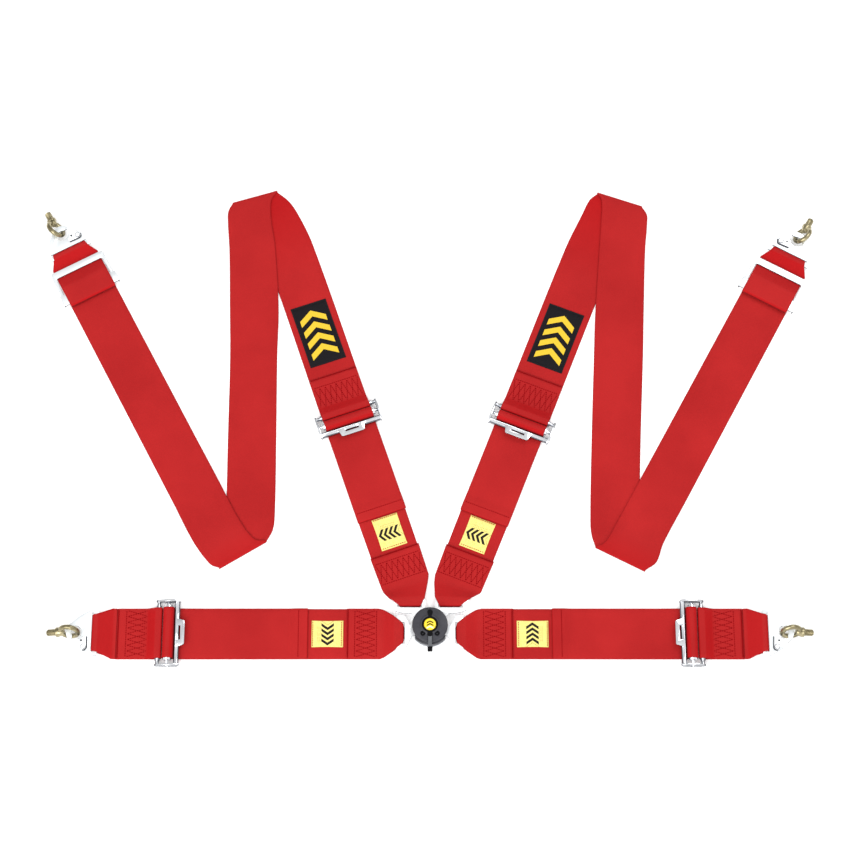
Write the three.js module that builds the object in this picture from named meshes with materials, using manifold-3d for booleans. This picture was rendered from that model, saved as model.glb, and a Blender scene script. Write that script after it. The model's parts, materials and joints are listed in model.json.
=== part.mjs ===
import * as THREE from 'three';
import { mergeVertices } from 'three/addons/utils/BufferGeometryUtils.js';
import Module from 'manifold-3d';

// Four-point racing harness: a rotary cam-lock buckle, two lap straps and two shoulder straps.
// Millimetres, +Z up. The origin is the centre of the buckle's back face; the straps lie on z = 0.
// Every strap has its own frame: s runs outward along the webbing and v across it.

const wasm = await Module();
wasm.setup();
const { degToRad } = THREE.MathUtils;

// ---------------------------------------------------------------- driving dimensions
const webbing = { width: 76, thickness: 1.6, lay: 0.4, sewnPitch: 1.7 };
const clearance = 0.35;
const floorLayer = webbing.thickness / 2;
const upperLayer = floorLayer + webbing.thickness + webbing.lay;
const sewnLayer = floorLayer + webbing.sewnPitch;

const buckle = {
  knobRadius: 26.2,
  housingRadius: 25.4,
  lobeRadius: 28.6,
  lobeHalfWidth: 22,
  baseTop: 3,
  housingBottom: 3.3,
  housingTop: 14.6,
  knobBottom: 15,
  knobTop: 23,
  tongueBottom: 5.5,
  tongueThickness: 3,
  stemHalfWidth: 8.6,
  stemInnerRadius: 16.8,
  pinCircle: 21.3,
  pinRadius: 2.4,
  screws: [[0, 18], [-10.5, -13.5], [10.5, -13.5]],
  badgeRadius: 9,
};

const tongueBar = { s: 45, z: 7, halfLength: 4, wrapRadius: 2.65 };

const adjuster = {
  gripRadius: 6.1,
  gripHeight: 10,
  gripToFixed: 14.6,
  fixedRadius: 4,
  fixedHeight: 6.4,
  journalRadius: 2.2,
  tilt: 24,
  earInside: 46.5,
  earThickness: 2.6,
  clampFrom: 16.8,
  clampTo: 9.6,
  frameEnd: 18,
  elbowRadius: 4,
  handleReach: 24.6,
  handleHalf: 18.6,
  windowFrom: 18.7,
  windowTo: 12.4,
  windowHalf: 10.6,
};

const hook = {
  barHeight: 8.3,
  barHalfWidth: 3.25,
  thickness: 3.5,
  barToHole: 26.7,
  tilt: 9,
  slotHalfLength: 29.8,
  halfWidth: 34,
  noseRadius: 17.1,
  noseCentre: -1.1,
};

const eyeBolt = {
  ringRadius: 13,
  wireRadius: 3.8,
  collarStart: 29,
  collarEnd: 33,
  collarRadius: 7.2,
  threadRadius: 5,
  tip: 48,
};

const slide = {
  armInside: 39.4,
  armOutside: 44.4,
  bottom: 4.1,
  top: 7.1,
  barTop: 9.4,
};

const lap = {
  axisY: -10,
  tackAt: 122.5,
  labelFrom: 128,
  labelTo: 174.5,
  hemAt: 181,
  gripAt: 385.5,
  hookAt: 492.3,
  stemAngle: -12,
  bolt: { lean: 72, slope: 16, contact: 35, along: -1, aside: 1.7 },
};

// Shoulder values are for one side, x counted outward from the middle of the harness.
const shoulderLeft = {
  side: -1,
  tilt: 19,
  offset: 12.4,
  labelShift: 2.3,
  topFold: { outer: [310, 680], inner: [241, 700] },
  vertical: [
    { outer: [313, 600], inner: [239, 606], layer: 1 },
    { outer: [310, 505], inner: [234.5, 505], layer: 1 },
    { outer: [307.5, 425], inner: [235, 425], layer: 0 },
    { outer: [307, 290], inner: [233.5, 290], layer: 0 },
    { outer: [306.5, 165], inner: [233, 170], layer: 0 },
  ],
  bottomFold: { outer: [314, 90], inner: [244, 131] },
  riseFoot: [186.7, -100.3],
  riseTilt: 28.25,
  hookAt: 792.3,
};
const shoulderRight = {
  side: 1,
  tilt: 21.4,
  offset: 14.6,
  labelShift: 0,
  topFold: { outer: [334, 673], inner: [264, 697] },
  vertical: [
    { outer: [336, 600], inner: [265, 606], layer: 1 },
    { outer: [331, 497], inner: [256, 497], layer: 1 },
    { outer: [327.5, 420], inner: [252, 420], layer: 0 },
    { outer: [320, 290], inner: [245.5, 290], layer: 0 },
    { outer: [314.5, 160], inner: [240.5, 165], layer: 0 },
  ],
  bottomFold: { outer: [322, 88], inner: [247, 124] },
  riseFoot: [180.3, -99.3],
  riseTilt: 28.84,
  hookAt: 784,
};
const shoulder = {
  tackAt: 127,
  labelFrom: 132.5,
  labelTo: 182.5,
  hemAt: 185,
  gripAt: 344,
  stemAngle: 50,
  bolt: { lean: 51, slope: 13.5, contact: 26, along: 2.2, aside: -0.4 },
  barCentre: [32, 36.5],
  mainTack: 65,
  flatFrom: 660,
  riseFrom: 264,
  crossingEnd: 350,
  crossingDrop: 425,
  patchFrom: 443,
  patchLength: 102,
  patchHalfWidth: 28.6,
};

// ---------------------------------------------------------------- materials
function material(color, roughness, metalness) {
  return new THREE.MeshStandardMaterial({ color, roughness, metalness });
}
const looks = {
  webbing: material(0xc82a2e, 0.85, 0),
  patch: material(0x151516, 0.8, 0),
  label: material(0xe9dc6a, 0.7, 0),
  chrome: material(0xc9ccd0, 0.15, 1),
  zinc: material(0xdfe2e4, 0.35, 0.9),
  gold: material(0xb79a46, 0.4, 0.9),
  plastic: material(0x44464c, 0.45, 0),
  badge: material(0xf2d230, 0.4, 0),
  steel: material(0x8c9096, 0.4, 0.9),
};

// ---------------------------------------------------------------- solids and booleans
function solid(geometry) {
  const bare = geometry.clone();
  bare.deleteAttribute('normal');
  bare.deleteAttribute('uv');
  const merged = mergeVertices(bare, 1e-4);
  return new wasm.Manifold(new wasm.Mesh({
    numProp: 3,
    vertProperties: new Float32Array(merged.attributes.position.array),
    triVerts: new Uint32Array(merged.index.array),
  }));
}

function geometryOf(body) {
  const mesh = body.getMesh();
  const geometry = new THREE.BufferGeometry();
  geometry.setAttribute('position', new THREE.BufferAttribute(new Float32Array(mesh.vertProperties), 3));
  geometry.setIndex(new THREE.BufferAttribute(new Uint32Array(mesh.triVerts), 1));
  geometry.computeVertexNormals();
  return geometry;
}

function joined(...bodies) {
  return bodies.reduce((all, body) => all.add(body));
}

function piece(name, look, body) {
  const mesh = new THREE.Mesh(geometryOf(body), look);
  mesh.name = name;
  return mesh;
}

// ---------------------------------------------------------------- shapes
function shapeOf(outline, holes = []) {
  const shape = new THREE.Shape(outline.map(([x, y]) => new THREE.Vector2(x, y)));
  for (const hole of holes) {
    shape.holes.push(new THREE.Path(hole.map(([x, y]) => new THREE.Vector2(x, y))));
  }
  return shape;
}

// A plate lies in x and y between two heights.
function plate(outline, bottom, top, holes = []) {
  const geometry = new THREE.ExtrudeGeometry(shapeOf(outline, holes), {
    depth: top - bottom,
    bevelEnabled: false,
  });
  geometry.translate(0, 0, bottom);
  return solid(geometry);
}

// A side plate stands in x and z, between two places across.
function sidePlate(outline, from, to, holes = []) {
  const geometry = new THREE.ExtrudeGeometry(shapeOf(outline, holes), {
    depth: to - from,
    bevelEnabled: false,
  });
  geometry.rotateX(Math.PI / 2);
  geometry.translate(0, to, 0);
  return solid(geometry);
}

function ellipse(x, y, radiusX, radiusY, steps = 24) {
  const points = [];
  for (let i = 0; i < steps; i += 1) {
    const angle = (2 * Math.PI * i) / steps;
    points.push([x + radiusX * Math.cos(angle), y + radiusY * Math.sin(angle)]);
  }
  return points;
}

function arc(x, y, radius, fromDegrees, toDegrees, steps = 12) {
  const points = [];
  for (let i = 0; i <= steps; i += 1) {
    const angle = degToRad(fromDegrees + ((toDegrees - fromDegrees) * i) / steps);
    points.push([x + radius * Math.cos(angle), y + radius * Math.sin(angle)]);
  }
  return points;
}

function rectangle(x0, y0, x1, y1) {
  return [[x0, y0], [x1, y0], [x1, y1], [x0, y1]];
}

function disc(x, y, radius, bottom, top, steps = 24) {
  return plate(ellipse(x, y, radius, radius, steps), bottom, top);
}

// A round bar lies across, along y.
function crossBar(x, z, radius, from, to, steps = 20) {
  return sidePlate(ellipse(x, z, radius, radius, steps), from, to);
}

// A turned piece stands on the z axis; its profile starts and ends on that axis.
function turned(profile, steps = 48) {
  const geometry = new THREE.LatheGeometry(profile.map(([r, z]) => new THREE.Vector2(r, z)), steps);
  geometry.rotateX(Math.PI / 2);
  return solid(geometry);
}

// ---------------------------------------------------------------- webbing
// Corners are [s, z, radius]; the radius rounds each inner corner with an arc.
function roundedPath(corners) {
  const path = [[corners[0][0], corners[0][1]]];
  for (let i = 1; i < corners.length - 1; i += 1) {
    const corner = new THREE.Vector2(corners[i][0], corners[i][1]);
    const back = new THREE.Vector2(corners[i - 1][0], corners[i - 1][1]).sub(corner).normalize();
    const ahead = new THREE.Vector2(corners[i + 1][0], corners[i + 1][1]).sub(corner).normalize();
    const turn = Math.PI - Math.acos(THREE.MathUtils.clamp(back.dot(ahead), -1, 1));
    const reach = corners[i][2] * Math.tan(turn / 2);
    const middle = back.clone().add(ahead).normalize();
    const centre = corner.clone().addScaledVector(middle, corners[i][2] / Math.cos(turn / 2));
    const first = corner.clone().addScaledVector(back, reach).sub(centre);
    const sign = Math.sign(back.x * ahead.y - back.y * ahead.x) || 1;
    const steps = Math.max(1, Math.ceil(turn / 0.4));
    for (let k = 0; k <= steps; k += 1) {
      const spoke = first.clone().rotateAround(new THREE.Vector2(), (-sign * turn * k) / steps);
      path.push([centre.x + spoke.x, centre.y + spoke.y]);
    }
  }
  const last = corners[corners.length - 1];
  path.push([last[0], last[1]]);
  return path;
}

// Plan lines are {s, left, right}; between them the edges of the webbing run straight.
function planAt(lines, s) {
  let i = 0;
  while (i < lines.length - 2 && s > lines[i + 1].s) i += 1;
  const before = lines[i];
  const after = lines[i + 1];
  const share = (s - before.s) / (after.s - before.s);
  const mix = (a, b) => [a[0] + (b[0] - a[0]) * share, a[1] + (b[1] - a[1]) * share];
  const left = mix(before.left, after.left);
  const right = mix(before.right, after.right);
  const ahead = new THREE.Vector2(
    after.left[0] + after.right[0] - before.left[0] - before.right[0],
    after.left[1] + after.right[1] - before.left[1] - before.right[1],
  ).normalize();
  return { left, right, ahead };
}

// Stations of a ribbon that follows a path in s and z over a plan.
function stationsAlong(path, lines) {
  return path.map((point, i) => {
    const previous = path[Math.max(i - 1, 0)];
    const next = path[Math.min(i + 1, path.length - 1)];
    const inward = new THREE.Vector2(point[0] - previous[0], point[1] - previous[1]).normalize();
    const outward = new THREE.Vector2(next[0] - point[0], next[1] - point[1]).normalize();
    if (i === 0) inward.copy(outward);
    if (i === path.length - 1) outward.copy(inward);
    const along = inward.clone().add(outward).normalize();
    const spread = 1 / Math.max(along.dot(outward), 0.7);
    const plan = planAt(lines, point[0]);
    return {
      left: new THREE.Vector3(plan.left[0], plan.left[1], point[1]),
      right: new THREE.Vector3(plan.right[0], plan.right[1], point[1]),
      normal: new THREE.Vector3(
        -along.y * plan.ahead.x,
        -along.y * plan.ahead.y,
        along.x,
      ).multiplyScalar(spread),
    };
  });
}

// The closed body of a ribbon, swept from station to station.
function ribbon(stations) {
  const half = webbing.thickness / 2;
  const positions = [];
  for (const { left, right, normal } of stations) {
    const offset = normal.clone().multiplyScalar(half);
    for (const corner of [
      left.clone().add(offset),
      right.clone().add(offset),
      right.clone().sub(offset),
      left.clone().sub(offset),
    ]) {
      positions.push(corner.x, corner.y, corner.z);
    }
  }
  const index = [];
  const quad = (a, b, c, d) => index.push(a, b, c, a, c, d);
  for (let i = 0; i < stations.length - 1; i += 1) {
    const here = 4 * i;
    const there = here + 4;
    quad(here + 1, there + 1, there, here);
    quad(here, there, there + 3, here + 3);
    quad(here + 3, there + 3, there + 2, here + 2);
    quad(here + 2, there + 2, there + 1, here + 1);
  }
  const end = 4 * (stations.length - 1);
  quad(0, 3, 2, 1);
  quad(end, end + 1, end + 2, end + 3);
  const geometry = new THREE.BufferGeometry();
  geometry.setAttribute('position', new THREE.Float32BufferAttribute(positions, 3));
  geometry.setIndex(index);
  return solid(geometry);
}

// A block that joins two sewn layers; it stays just inside their edges.
function sewnBlock(lines, from, to, bottom, top) {
  const inset = 0.02;
  const a = planAt(lines, from);
  const b = planAt(lines, to);
  const pull = (p, q) => [p[0] + (q[0] - p[0]) * inset, p[1] + (q[1] - p[1]) * inset];
  return plate([
    pull(a.left, a.right),
    pull(a.right, a.left),
    pull(b.right, b.left),
    pull(b.left, b.right),
  ], bottom, top);
}

// ---------------------------------------------------------------- strap frames
// A frame turns (s, v) into x and y; v is to the left of the outward direction.
function strapFrame(foot, degrees) {
  const angle = degToRad(degrees);
  const cos = Math.cos(angle);
  const sin = Math.sin(angle);
  return {
    foot,
    angle,
    at: (s, v) => [foot[0] + s * cos - v * sin, foot[1] + s * sin + v * cos],
  };
}

function lineAcross(frame, s, halfWidth, at = s) {
  return { s, left: frame.at(at, halfWidth), right: frame.at(at, -halfWidth) };
}

const halfWebbing = webbing.width / 2;

// Lines of the taper into a tongue whose bar is square to the strap.
function lapPlan(frame) {
  const { s } = tongueBar;
  return [
    lineAcross(frame, s - 7, 8.5),
    lineAcross(frame, s - 5, 14.5),
    lineAcross(frame, s, 19),
    lineAcross(frame, s + 6, 23.3),
    lineAcross(frame, s + 28, halfWebbing),
    lineAcross(frame, 500, halfWebbing),
  ];
}

// The shoulder tongues' bars lie along x, so the strap ends turn as they taper.
function shoulderPlan(layout, frame) {
  const [barX, barY] = shoulder.barCentre;
  const { side } = layout;
  const line = (s, inner, outer, y) => {
    const a = [side * (barX - inner), y];
    const b = [side * (barX + outer), y];
    return side < 0 ? { s, left: b, right: a } : { s, left: a, right: b };
  };
  const { s } = tongueBar;
  return [
    line(s - 8, 17.5, 10.5, barY - 8),
    line(s, 21, 20.5, barY),
    line(s + 5, 23, 24.5, barY + 5),
    lineAcross(frame, s + 31, halfWebbing - 1.5),
    lineAcross(frame, s + 70, halfWebbing),
    lineAcross(frame, 600, halfWebbing),
  ];
}

// Narrowing of the webbing into the slot of a hook plate.
function hookPlan(frame, hookAt, from) {
  return [
    lineAcross(frame, from, halfWebbing),
    lineAcross(frame, hookAt - 12, halfWebbing - 0.6),
    lineAcross(frame, hookAt - 4, 29.2),
    lineAcross(frame, hookAt + 7, 26.3),
  ];
}

// ---------------------------------------------------------------- webbing pieces
// The adjustable webbing: sewn round the tongue bar, wrapped over the grip bar, ending in a hem.
function innerWebbing(lines, tackAt, hemAt, gripAt) {
  const bar = tongueBar;
  const nose = bar.s - bar.halfLength - bar.wrapRadius;
  const wrap = adjuster.gripRadius + clearance + floorLayer;
  const under = adjuster.gripHeight - wrap;
  const over = adjuster.gripHeight + wrap;
  const path = roundedPath([
    [tackAt, sewnLayer],
    [bar.s + 26, sewnLayer, 30],
    [bar.s + 7, bar.z + bar.wrapRadius, 10],
    [nose, bar.z + bar.wrapRadius, bar.wrapRadius],
    [nose, bar.z - bar.wrapRadius, bar.wrapRadius],
    [bar.s + 8, bar.z - bar.wrapRadius, 10],
    [bar.s + 26, floorLayer, 30],
    [gripAt - 32, floorLayer, 60],
    [gripAt - 4, under, 10],
    [gripAt + wrap, under, wrap],
    [gripAt + wrap, over, wrap],
    [gripAt - wrap, over, wrap],
    [gripAt - wrap - 2, upperLayer + 0.8, 2.2],
    [gripAt - 50, upperLayer, 60],
    [hemAt, upperLayer],
  ]);
  const half = webbing.thickness / 2;
  const hemLength = 14.5;
  return joined(
    ribbon(stationsAlong(path, lines)),
    sewnBlock(lines, bar.s + 30, tackAt - 0.6, 0.3, sewnLayer + half - 0.3),
    sewnBlock(lines, hemAt + 0.1, hemAt + hemLength, upperLayer, upperLayer + half + webbing.thickness),
  );
}

const fixedWrap = adjuster.fixedRadius + clearance + floorLayer;
const hookWrap = 4.9;

// Corners round the fixed bar of an adjuster, from the top layer to the floor layer.
function fixedBarCorners(fixedAt) {
  const top = adjuster.fixedHeight + fixedWrap;
  const bottom = adjuster.fixedHeight - fixedWrap;
  return [
    [fixedAt + 17, sewnLayer, 12],
    [fixedAt + 4, top, 6],
    [fixedAt - fixedWrap, top, fixedWrap],
    [fixedAt - fixedWrap, bottom, fixedWrap],
    [fixedAt + 12, floorLayer, 20],
  ];
}

// The lap's short outer webbing: one loop on the adjuster, one on the hook plate.
function outerWebbing(frame, fixedAt, hookAt) {
  const lines = hookPlan(frame, hookAt, fixedAt - 20);
  const top = hook.barHeight + hookWrap;
  const bottom = hook.barHeight - hookWrap;
  const joint = fixedAt + 61;
  const path = roundedPath([
    [joint, sewnLayer],
    ...fixedBarCorners(fixedAt),
    [hookAt - 32, floorLayer, 30],
    [hookAt + hookWrap, bottom, hookWrap - 0.6],
    [hookAt + hookWrap, top, hookWrap],
    [hookAt - 3, top, 6],
    [hookAt - 26, sewnLayer, 12],
    [joint + 1.2, sewnLayer],
  ]);
  return joined(
    ribbon(stationsAlong(path, lines)),
    sewnBlock(lines, fixedAt + 19, hookAt - 30, 0.3, sewnLayer + webbing.thickness / 2 - 0.3),
  );
}

// Stations round a crease: a half turn about the crease line from one layer to the next.
function foldStations(outerEnd, innerEnd, side, beyond, opening) {
  const radius = (upperLayer - floorLayer) / 2;
  const centre = (upperLayer + floorLayer) / 2;
  const left = side < 0 ? outerEnd : innerEnd;
  const right = side < 0 ? innerEnd : outerEnd;
  const stations = [];
  for (let i = 0; i <= 4; i += 1) {
    const angle = -Math.PI / 2 + (Math.PI * i) / 4;
    const reach = radius * Math.cos(angle);
    const z = centre + radius * Math.sin(angle);
    const shift = (p) => new THREE.Vector3(p[0] + beyond[0] * reach, p[1] + beyond[1] * reach, z);
    stations.push({
      left: shift(left),
      right: shift(right),
      normal: new THREE.Vector3(
        beyond[0] * Math.cos(angle),
        beyond[1] * Math.cos(angle),
        Math.sin(angle),
      ).multiplyScalar(opening),
    });
  }
  return stations;
}

// The long shoulder webbing: adjuster, top fold, vertical run, bottom fold, slide and hook.
function mainWebbing(layout, frame, rise) {
  const { side, hookAt } = layout;
  const fixedAt = shoulder.gripAt + adjuster.gripToFixed;
  const mirrored = ([x, y]) => [side * x, y];
  const strapLines = [
    lineAcross(frame, fixedAt - 20, halfWebbing),
    lineAcross(frame, shoulder.flatFrom, halfWebbing),
  ];
  const start = roundedPath([
    [fixedAt + shoulder.mainTack, sewnLayer],
    ...fixedBarCorners(fixedAt),
    [shoulder.flatFrom, floorLayer],
  ]);
  const topOuter = mirrored(layout.topFold.outer);
  const topInner = mirrored(layout.topFold.inner);
  const bottomOuter = mirrored(layout.bottomFold.outer);
  const bottomInner = mirrored(layout.bottomFold.inner);
  const across = (outer, inner, z, up) => ({
    left: new THREE.Vector3(...(side < 0 ? outer : inner), z),
    right: new THREE.Vector3(...(side < 0 ? inner : outer), z),
    normal: new THREE.Vector3(0, 0, up),
  });
  const vertical = layout.vertical.map(({ outer, inner, layer }) => across(
    mirrored(outer),
    mirrored(inner),
    layer ? upperLayer : floorLayer,
    -1,
  ));

  const tuckedEnd = hookAt - 47;
  const wrapHeight = (slide.barTop + clearance + floorLayer + upperLayer) / 2;
  const wrapRadius = wrapHeight - upperLayer;
  const wrapAt = hookAt - 81.3;
  const hookTop = hook.barHeight + hookWrap;
  const hookBottom = hook.barHeight - hookWrap;
  const riseLines = hookPlan(rise, hookAt, shoulder.riseFrom);
  const risePath = roundedPath([
    [shoulder.riseFrom, upperLayer],
    [shoulder.crossingEnd, upperLayer, 200],
    [shoulder.crossingDrop, floorLayer, 200],
    [hookAt - 26, floorLayer, 30],
    [hookAt + hookWrap, hookBottom, hookWrap - 0.6],
    [hookAt + hookWrap, hookTop, hookWrap],
    [hookAt - 3, hookTop, 6],
    [hookAt - 18.5, upperLayer, 6],
    [hookAt - 32, upperLayer, 10],
    [hookAt - 52, wrapHeight + wrapRadius, 12],
    [wrapAt - wrapRadius, wrapHeight + wrapRadius, wrapRadius],
    [wrapAt - wrapRadius, upperLayer, wrapRadius],
    [tuckedEnd, upperLayer],
  ]);
  const stations = [
    ...stationsAlong(start, strapLines),
    ...foldStations(topOuter, topInner, side, [0, 1], -1),
    ...vertical,
    ...foldStations(bottomOuter, bottomInner, side, [0, -1], 1),
    ...stationsAlong(risePath, riseLines),
  ];
  const sewn = webbing.thickness / 2 - 0.3;
  return joined(
    ribbon(stations),
    sewnBlock(strapLines, fixedAt + 19, fixedAt + shoulder.mainTack - 0.6, 0.3, sewnLayer + sewn),
  );
}

// ---------------------------------------------------------------- buckle
function stemOutline(radius, halfWidth, reach) {
  return rectangle(radius, -halfWidth, reach, halfWidth);
}

function turnedOutline(outline, degrees) {
  const angle = degToRad(degrees);
  return outline.map(([x, y]) => [
    x * Math.cos(angle) - y * Math.sin(angle),
    x * Math.sin(angle) + y * Math.cos(angle),
  ]);
}

const stemAngles = {
  lap_right: lap.stemAngle,
  shoulder_right: shoulder.stemAngle,
  shoulder_left: 180 - shoulder.stemAngle,
  lap_left: 180 - lap.stemAngle,
};

function onCircle(radius, degrees) {
  const angle = degToRad(degrees);
  return [radius * Math.cos(angle), radius * Math.sin(angle)];
}

// The body seen from above: a disc with a lower lobe that carries the lever.
function bodyOutline(grow, bottom, top) {
  const lobe = disc(0, 0, buckle.lobeRadius + grow, bottom, top, 48);
  const half = buckle.lobeHalfWidth + grow;
  const window = plate(rectangle(-half, -40, half, -6), bottom - 1, top + 1);
  return disc(0, 0, buckle.housingRadius + grow, bottom, top, 48).add(lobe.intersect(window));
}

function buildBuckle() {
  const group = new THREE.Group();
  const { tongueBottom, tongueThickness, pinCircle, pinRadius } = buckle;
  const tongueTop = tongueBottom + tongueThickness;

  group.add(piece('buckle_base_plate', looks.steel, bodyOutline(0.6, 0, buckle.baseTop)));

  let housing = bodyOutline(0, buckle.housingBottom, buckle.housingTop);
  for (const degrees of Object.values(stemAngles)) {
    const pocket = stemOutline(buckle.stemInnerRadius - 0.5, buckle.stemHalfWidth + 0.4, 40);
    const pin = onCircle(pinCircle, degrees);
    housing = housing
      .subtract(plate(turnedOutline(pocket, degrees), tongueBottom - 0.4, tongueTop + 0.4))
      .subtract(disc(...pin, pinRadius + clearance, 4.6, 20));
  }
  housing = housing
    .subtract(disc(0, 0, 4 + clearance, 0, 20))
    .subtract(disc(0, 0, 9.6, 10.8, 20, 32));
  group.add(piece('buckle_housing', looks.plastic, housing));

  const spindle = turned([
    [0, 3.4], [4, 3.4], [4, 17.6], [6.8, 17.6], [6.8, 20], [0, 20],
  ], 24);
  group.add(piece('spindle', looks.steel, spindle));

  const coil = { radius: 7.2, wire: 0.6, turns: 1.75, bottom: 11.7, pitch: 1.35 };
  const helix = [];
  for (let i = 0; i <= coil.turns * 16; i += 1) {
    const angle = (2 * Math.PI * i) / 16;
    helix.push(new THREE.Vector3(
      coil.radius * Math.cos(angle),
      coil.radius * Math.sin(angle),
      coil.bottom + (coil.pitch * i) / 16,
    ));
  }
  const wire = new THREE.ExtrudeGeometry(shapeOf(ellipse(0, 0, coil.wire, coil.wire, 8)), {
    steps: helix.length - 1,
    extrudePath: new THREE.CatmullRomCurve3(helix),
    bevelEnabled: false,
  });
  group.add(piece('return_spring', looks.steel, solid(wire)));

  const plungers = ['shoulder_left', 'shoulder_right', 'lap_right'];
  for (const name of plungers) {
    const pin = disc(...onCircle(pinCircle, stemAngles[name]), pinRadius, 5, buckle.housingTop);
    group.add(piece(`locking_plunger_${name}`, looks.steel, pin));
  }
  const fixedPin = disc(...onCircle(pinCircle, stemAngles.lap_left), pinRadius, 5, buckle.housingTop);
  group.add(piece('fixed_tongue_pin', looks.steel, fixedPin));
  return group;
}

function buildKnob() {
  const group = new THREE.Group();
  const { knobRadius, knobBottom, knobTop, badgeRadius } = buckle;
  const ringRadius = 13.4;
  const body = turned([
    [0, knobBottom],
    [knobRadius - 1, knobBottom],
    [knobRadius, knobBottom + 1],
    [knobRadius, knobTop - 2.6],
    [knobRadius - 0.8, knobTop - 1.4],
    [knobRadius - 2.4, knobTop - 1],
    [ringRadius + 2.2, knobTop - 1],
    [ringRadius, knobTop + 0.6],
    [ringRadius - 1.2, knobTop + 0.6],
    [badgeRadius + 1.2, knobTop - 0.4],
    [0, knobTop - 0.4],
  ], 48);
  const screwFloor = 20.3;
  let knob = body
    .subtract(disc(0, 0, 4 + clearance, 10, 30))
    .subtract(disc(0, 0, 7.3, 17.2, 30))
    .subtract(disc(0, 0, badgeRadius + clearance, 21, 30, 32))
    .subtract(disc(0, 0, 24.4, 14, 19.7, 48).subtract(disc(0, 0, 16.4, 13, 21, 48)));
  knob = knob.subtract(plate(rectangle(-3.2, -60, 3.2, -15.4), screwFloor - 0.4, 30));
  for (const [x, y] of buckle.screws) {
    knob = knob.subtract(disc(x, y, 2.9, screwFloor, 30));
  }
  group.add(piece('rotary_knob', looks.plastic, knob));

  const badge = turned([
    [0, 21.3],
    [badgeRadius, 21.3],
    [badgeRadius, knobTop - 0.2],
    [badgeRadius - 0.8, knobTop + 0.5],
    [0, knobTop + 0.5],
  ], 32);
  group.add(piece('centre_badge', looks.badge, badge));

  buckle.screws.forEach(([x, y], i) => {
    const screw = disc(x, y, 2.5, screwFloor + 0.3, knobTop - 1.3)
      .subtract(plate(ellipse(x, y, 1.3, 1.3, 6), knobTop - 2.4, 30));
    group.add(piece(`knob_screw_${i + 1}`, looks.steel, screw));
  });

  const lever = plate(rectangle(-2.75, -34, 2.75, -15.8), screwFloor, 23.8)
    .add(plate([
      ...arc(-2, -38.4, 1.1, 180, 270, 4),
      ...arc(2, -38.4, 1.1, 270, 360, 4),
      [3.1, -33.6],
      [-3.1, -33.6],
    ], screwFloor, 24.4));
  group.add(piece('release_lever', looks.plastic, lever));
  return group;
}

// ---------------------------------------------------------------- tongues
// Outlines are for the right-hand side and are mirrored for the left.
function lapTongueHead() {
  const { s } = tongueBar;
  return [
    [s - 18, lap.axisY - 5],
    [s - 12.5, lap.axisY - 15],
    [s - 8, lap.axisY - 25],
    [s - 4, lap.axisY - 27],
    [s + 4, lap.axisY - 27],
    [s + 4, lap.axisY + 27],
    [s - 4, lap.axisY + 27],
    [s - 8, lap.axisY + 25],
    [s - 12.5, lap.axisY + 17],
    [s - 18, lap.axisY + 5],
  ];
}

function shoulderTongueHead() {
  const [barX, barY] = shoulder.barCentre;
  return [
    [barX - 16, barY - 14],
    [barX, barY - 17],
    [barX + 14, barY - 15],
    [barX + 22, barY - 12],
    [barX + 25.5, barY - 4],
    [barX + 25.5, barY + 4],
    [barX - 25, barY + 4],
    [barX - 25, barY - 9],
    [barX - 23, barY - 12],
  ];
}

function buildTongue(name, side, isLap) {
  const [barX, barY] = shoulder.barCentre;
  const bottom = buckle.tongueBottom;
  const top = bottom + buckle.tongueThickness;
  const degrees = isLap ? lap.stemAngle : shoulder.stemAngle;
  const stem = turnedOutline(stemOutline(buckle.stemInnerRadius, buckle.stemHalfWidth, 33), degrees);
  const slot = isLap
    ? rectangle(tongueBar.s - 8.2, lap.axisY - 16.2, tongueBar.s - 4, lap.axisY + 16.2)
    : rectangle(barX - 20.2, barY - 8.2, barX + 16.6, barY - 4);
  const mirrored = (points) => {
    const moved = points.map(([x, y]) => [side * x, y]);
    return side < 0 ? moved.reverse() : moved;
  };
  const notchHalf = buckle.pinRadius + 0.6;
  const notch = turnedOutline([
    [buckle.stemInnerRadius - 2, -notchHalf],
    ...arc(buckle.pinCircle, 0, notchHalf, -90, 90, 12),
    [buckle.stemInnerRadius - 2, notchHalf],
  ], degrees);
  const body = plate(mirrored(isLap ? lapTongueHead() : shoulderTongueHead()), bottom, top)
    .add(plate(mirrored(stem), bottom, top))
    .subtract(plate(mirrored(slot), bottom - 1, top + 1))
    .subtract(plate(mirrored(notch), bottom - 1, top + 1));
  return piece(`tongue_${name}`, looks.zinc, body);
}

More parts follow.
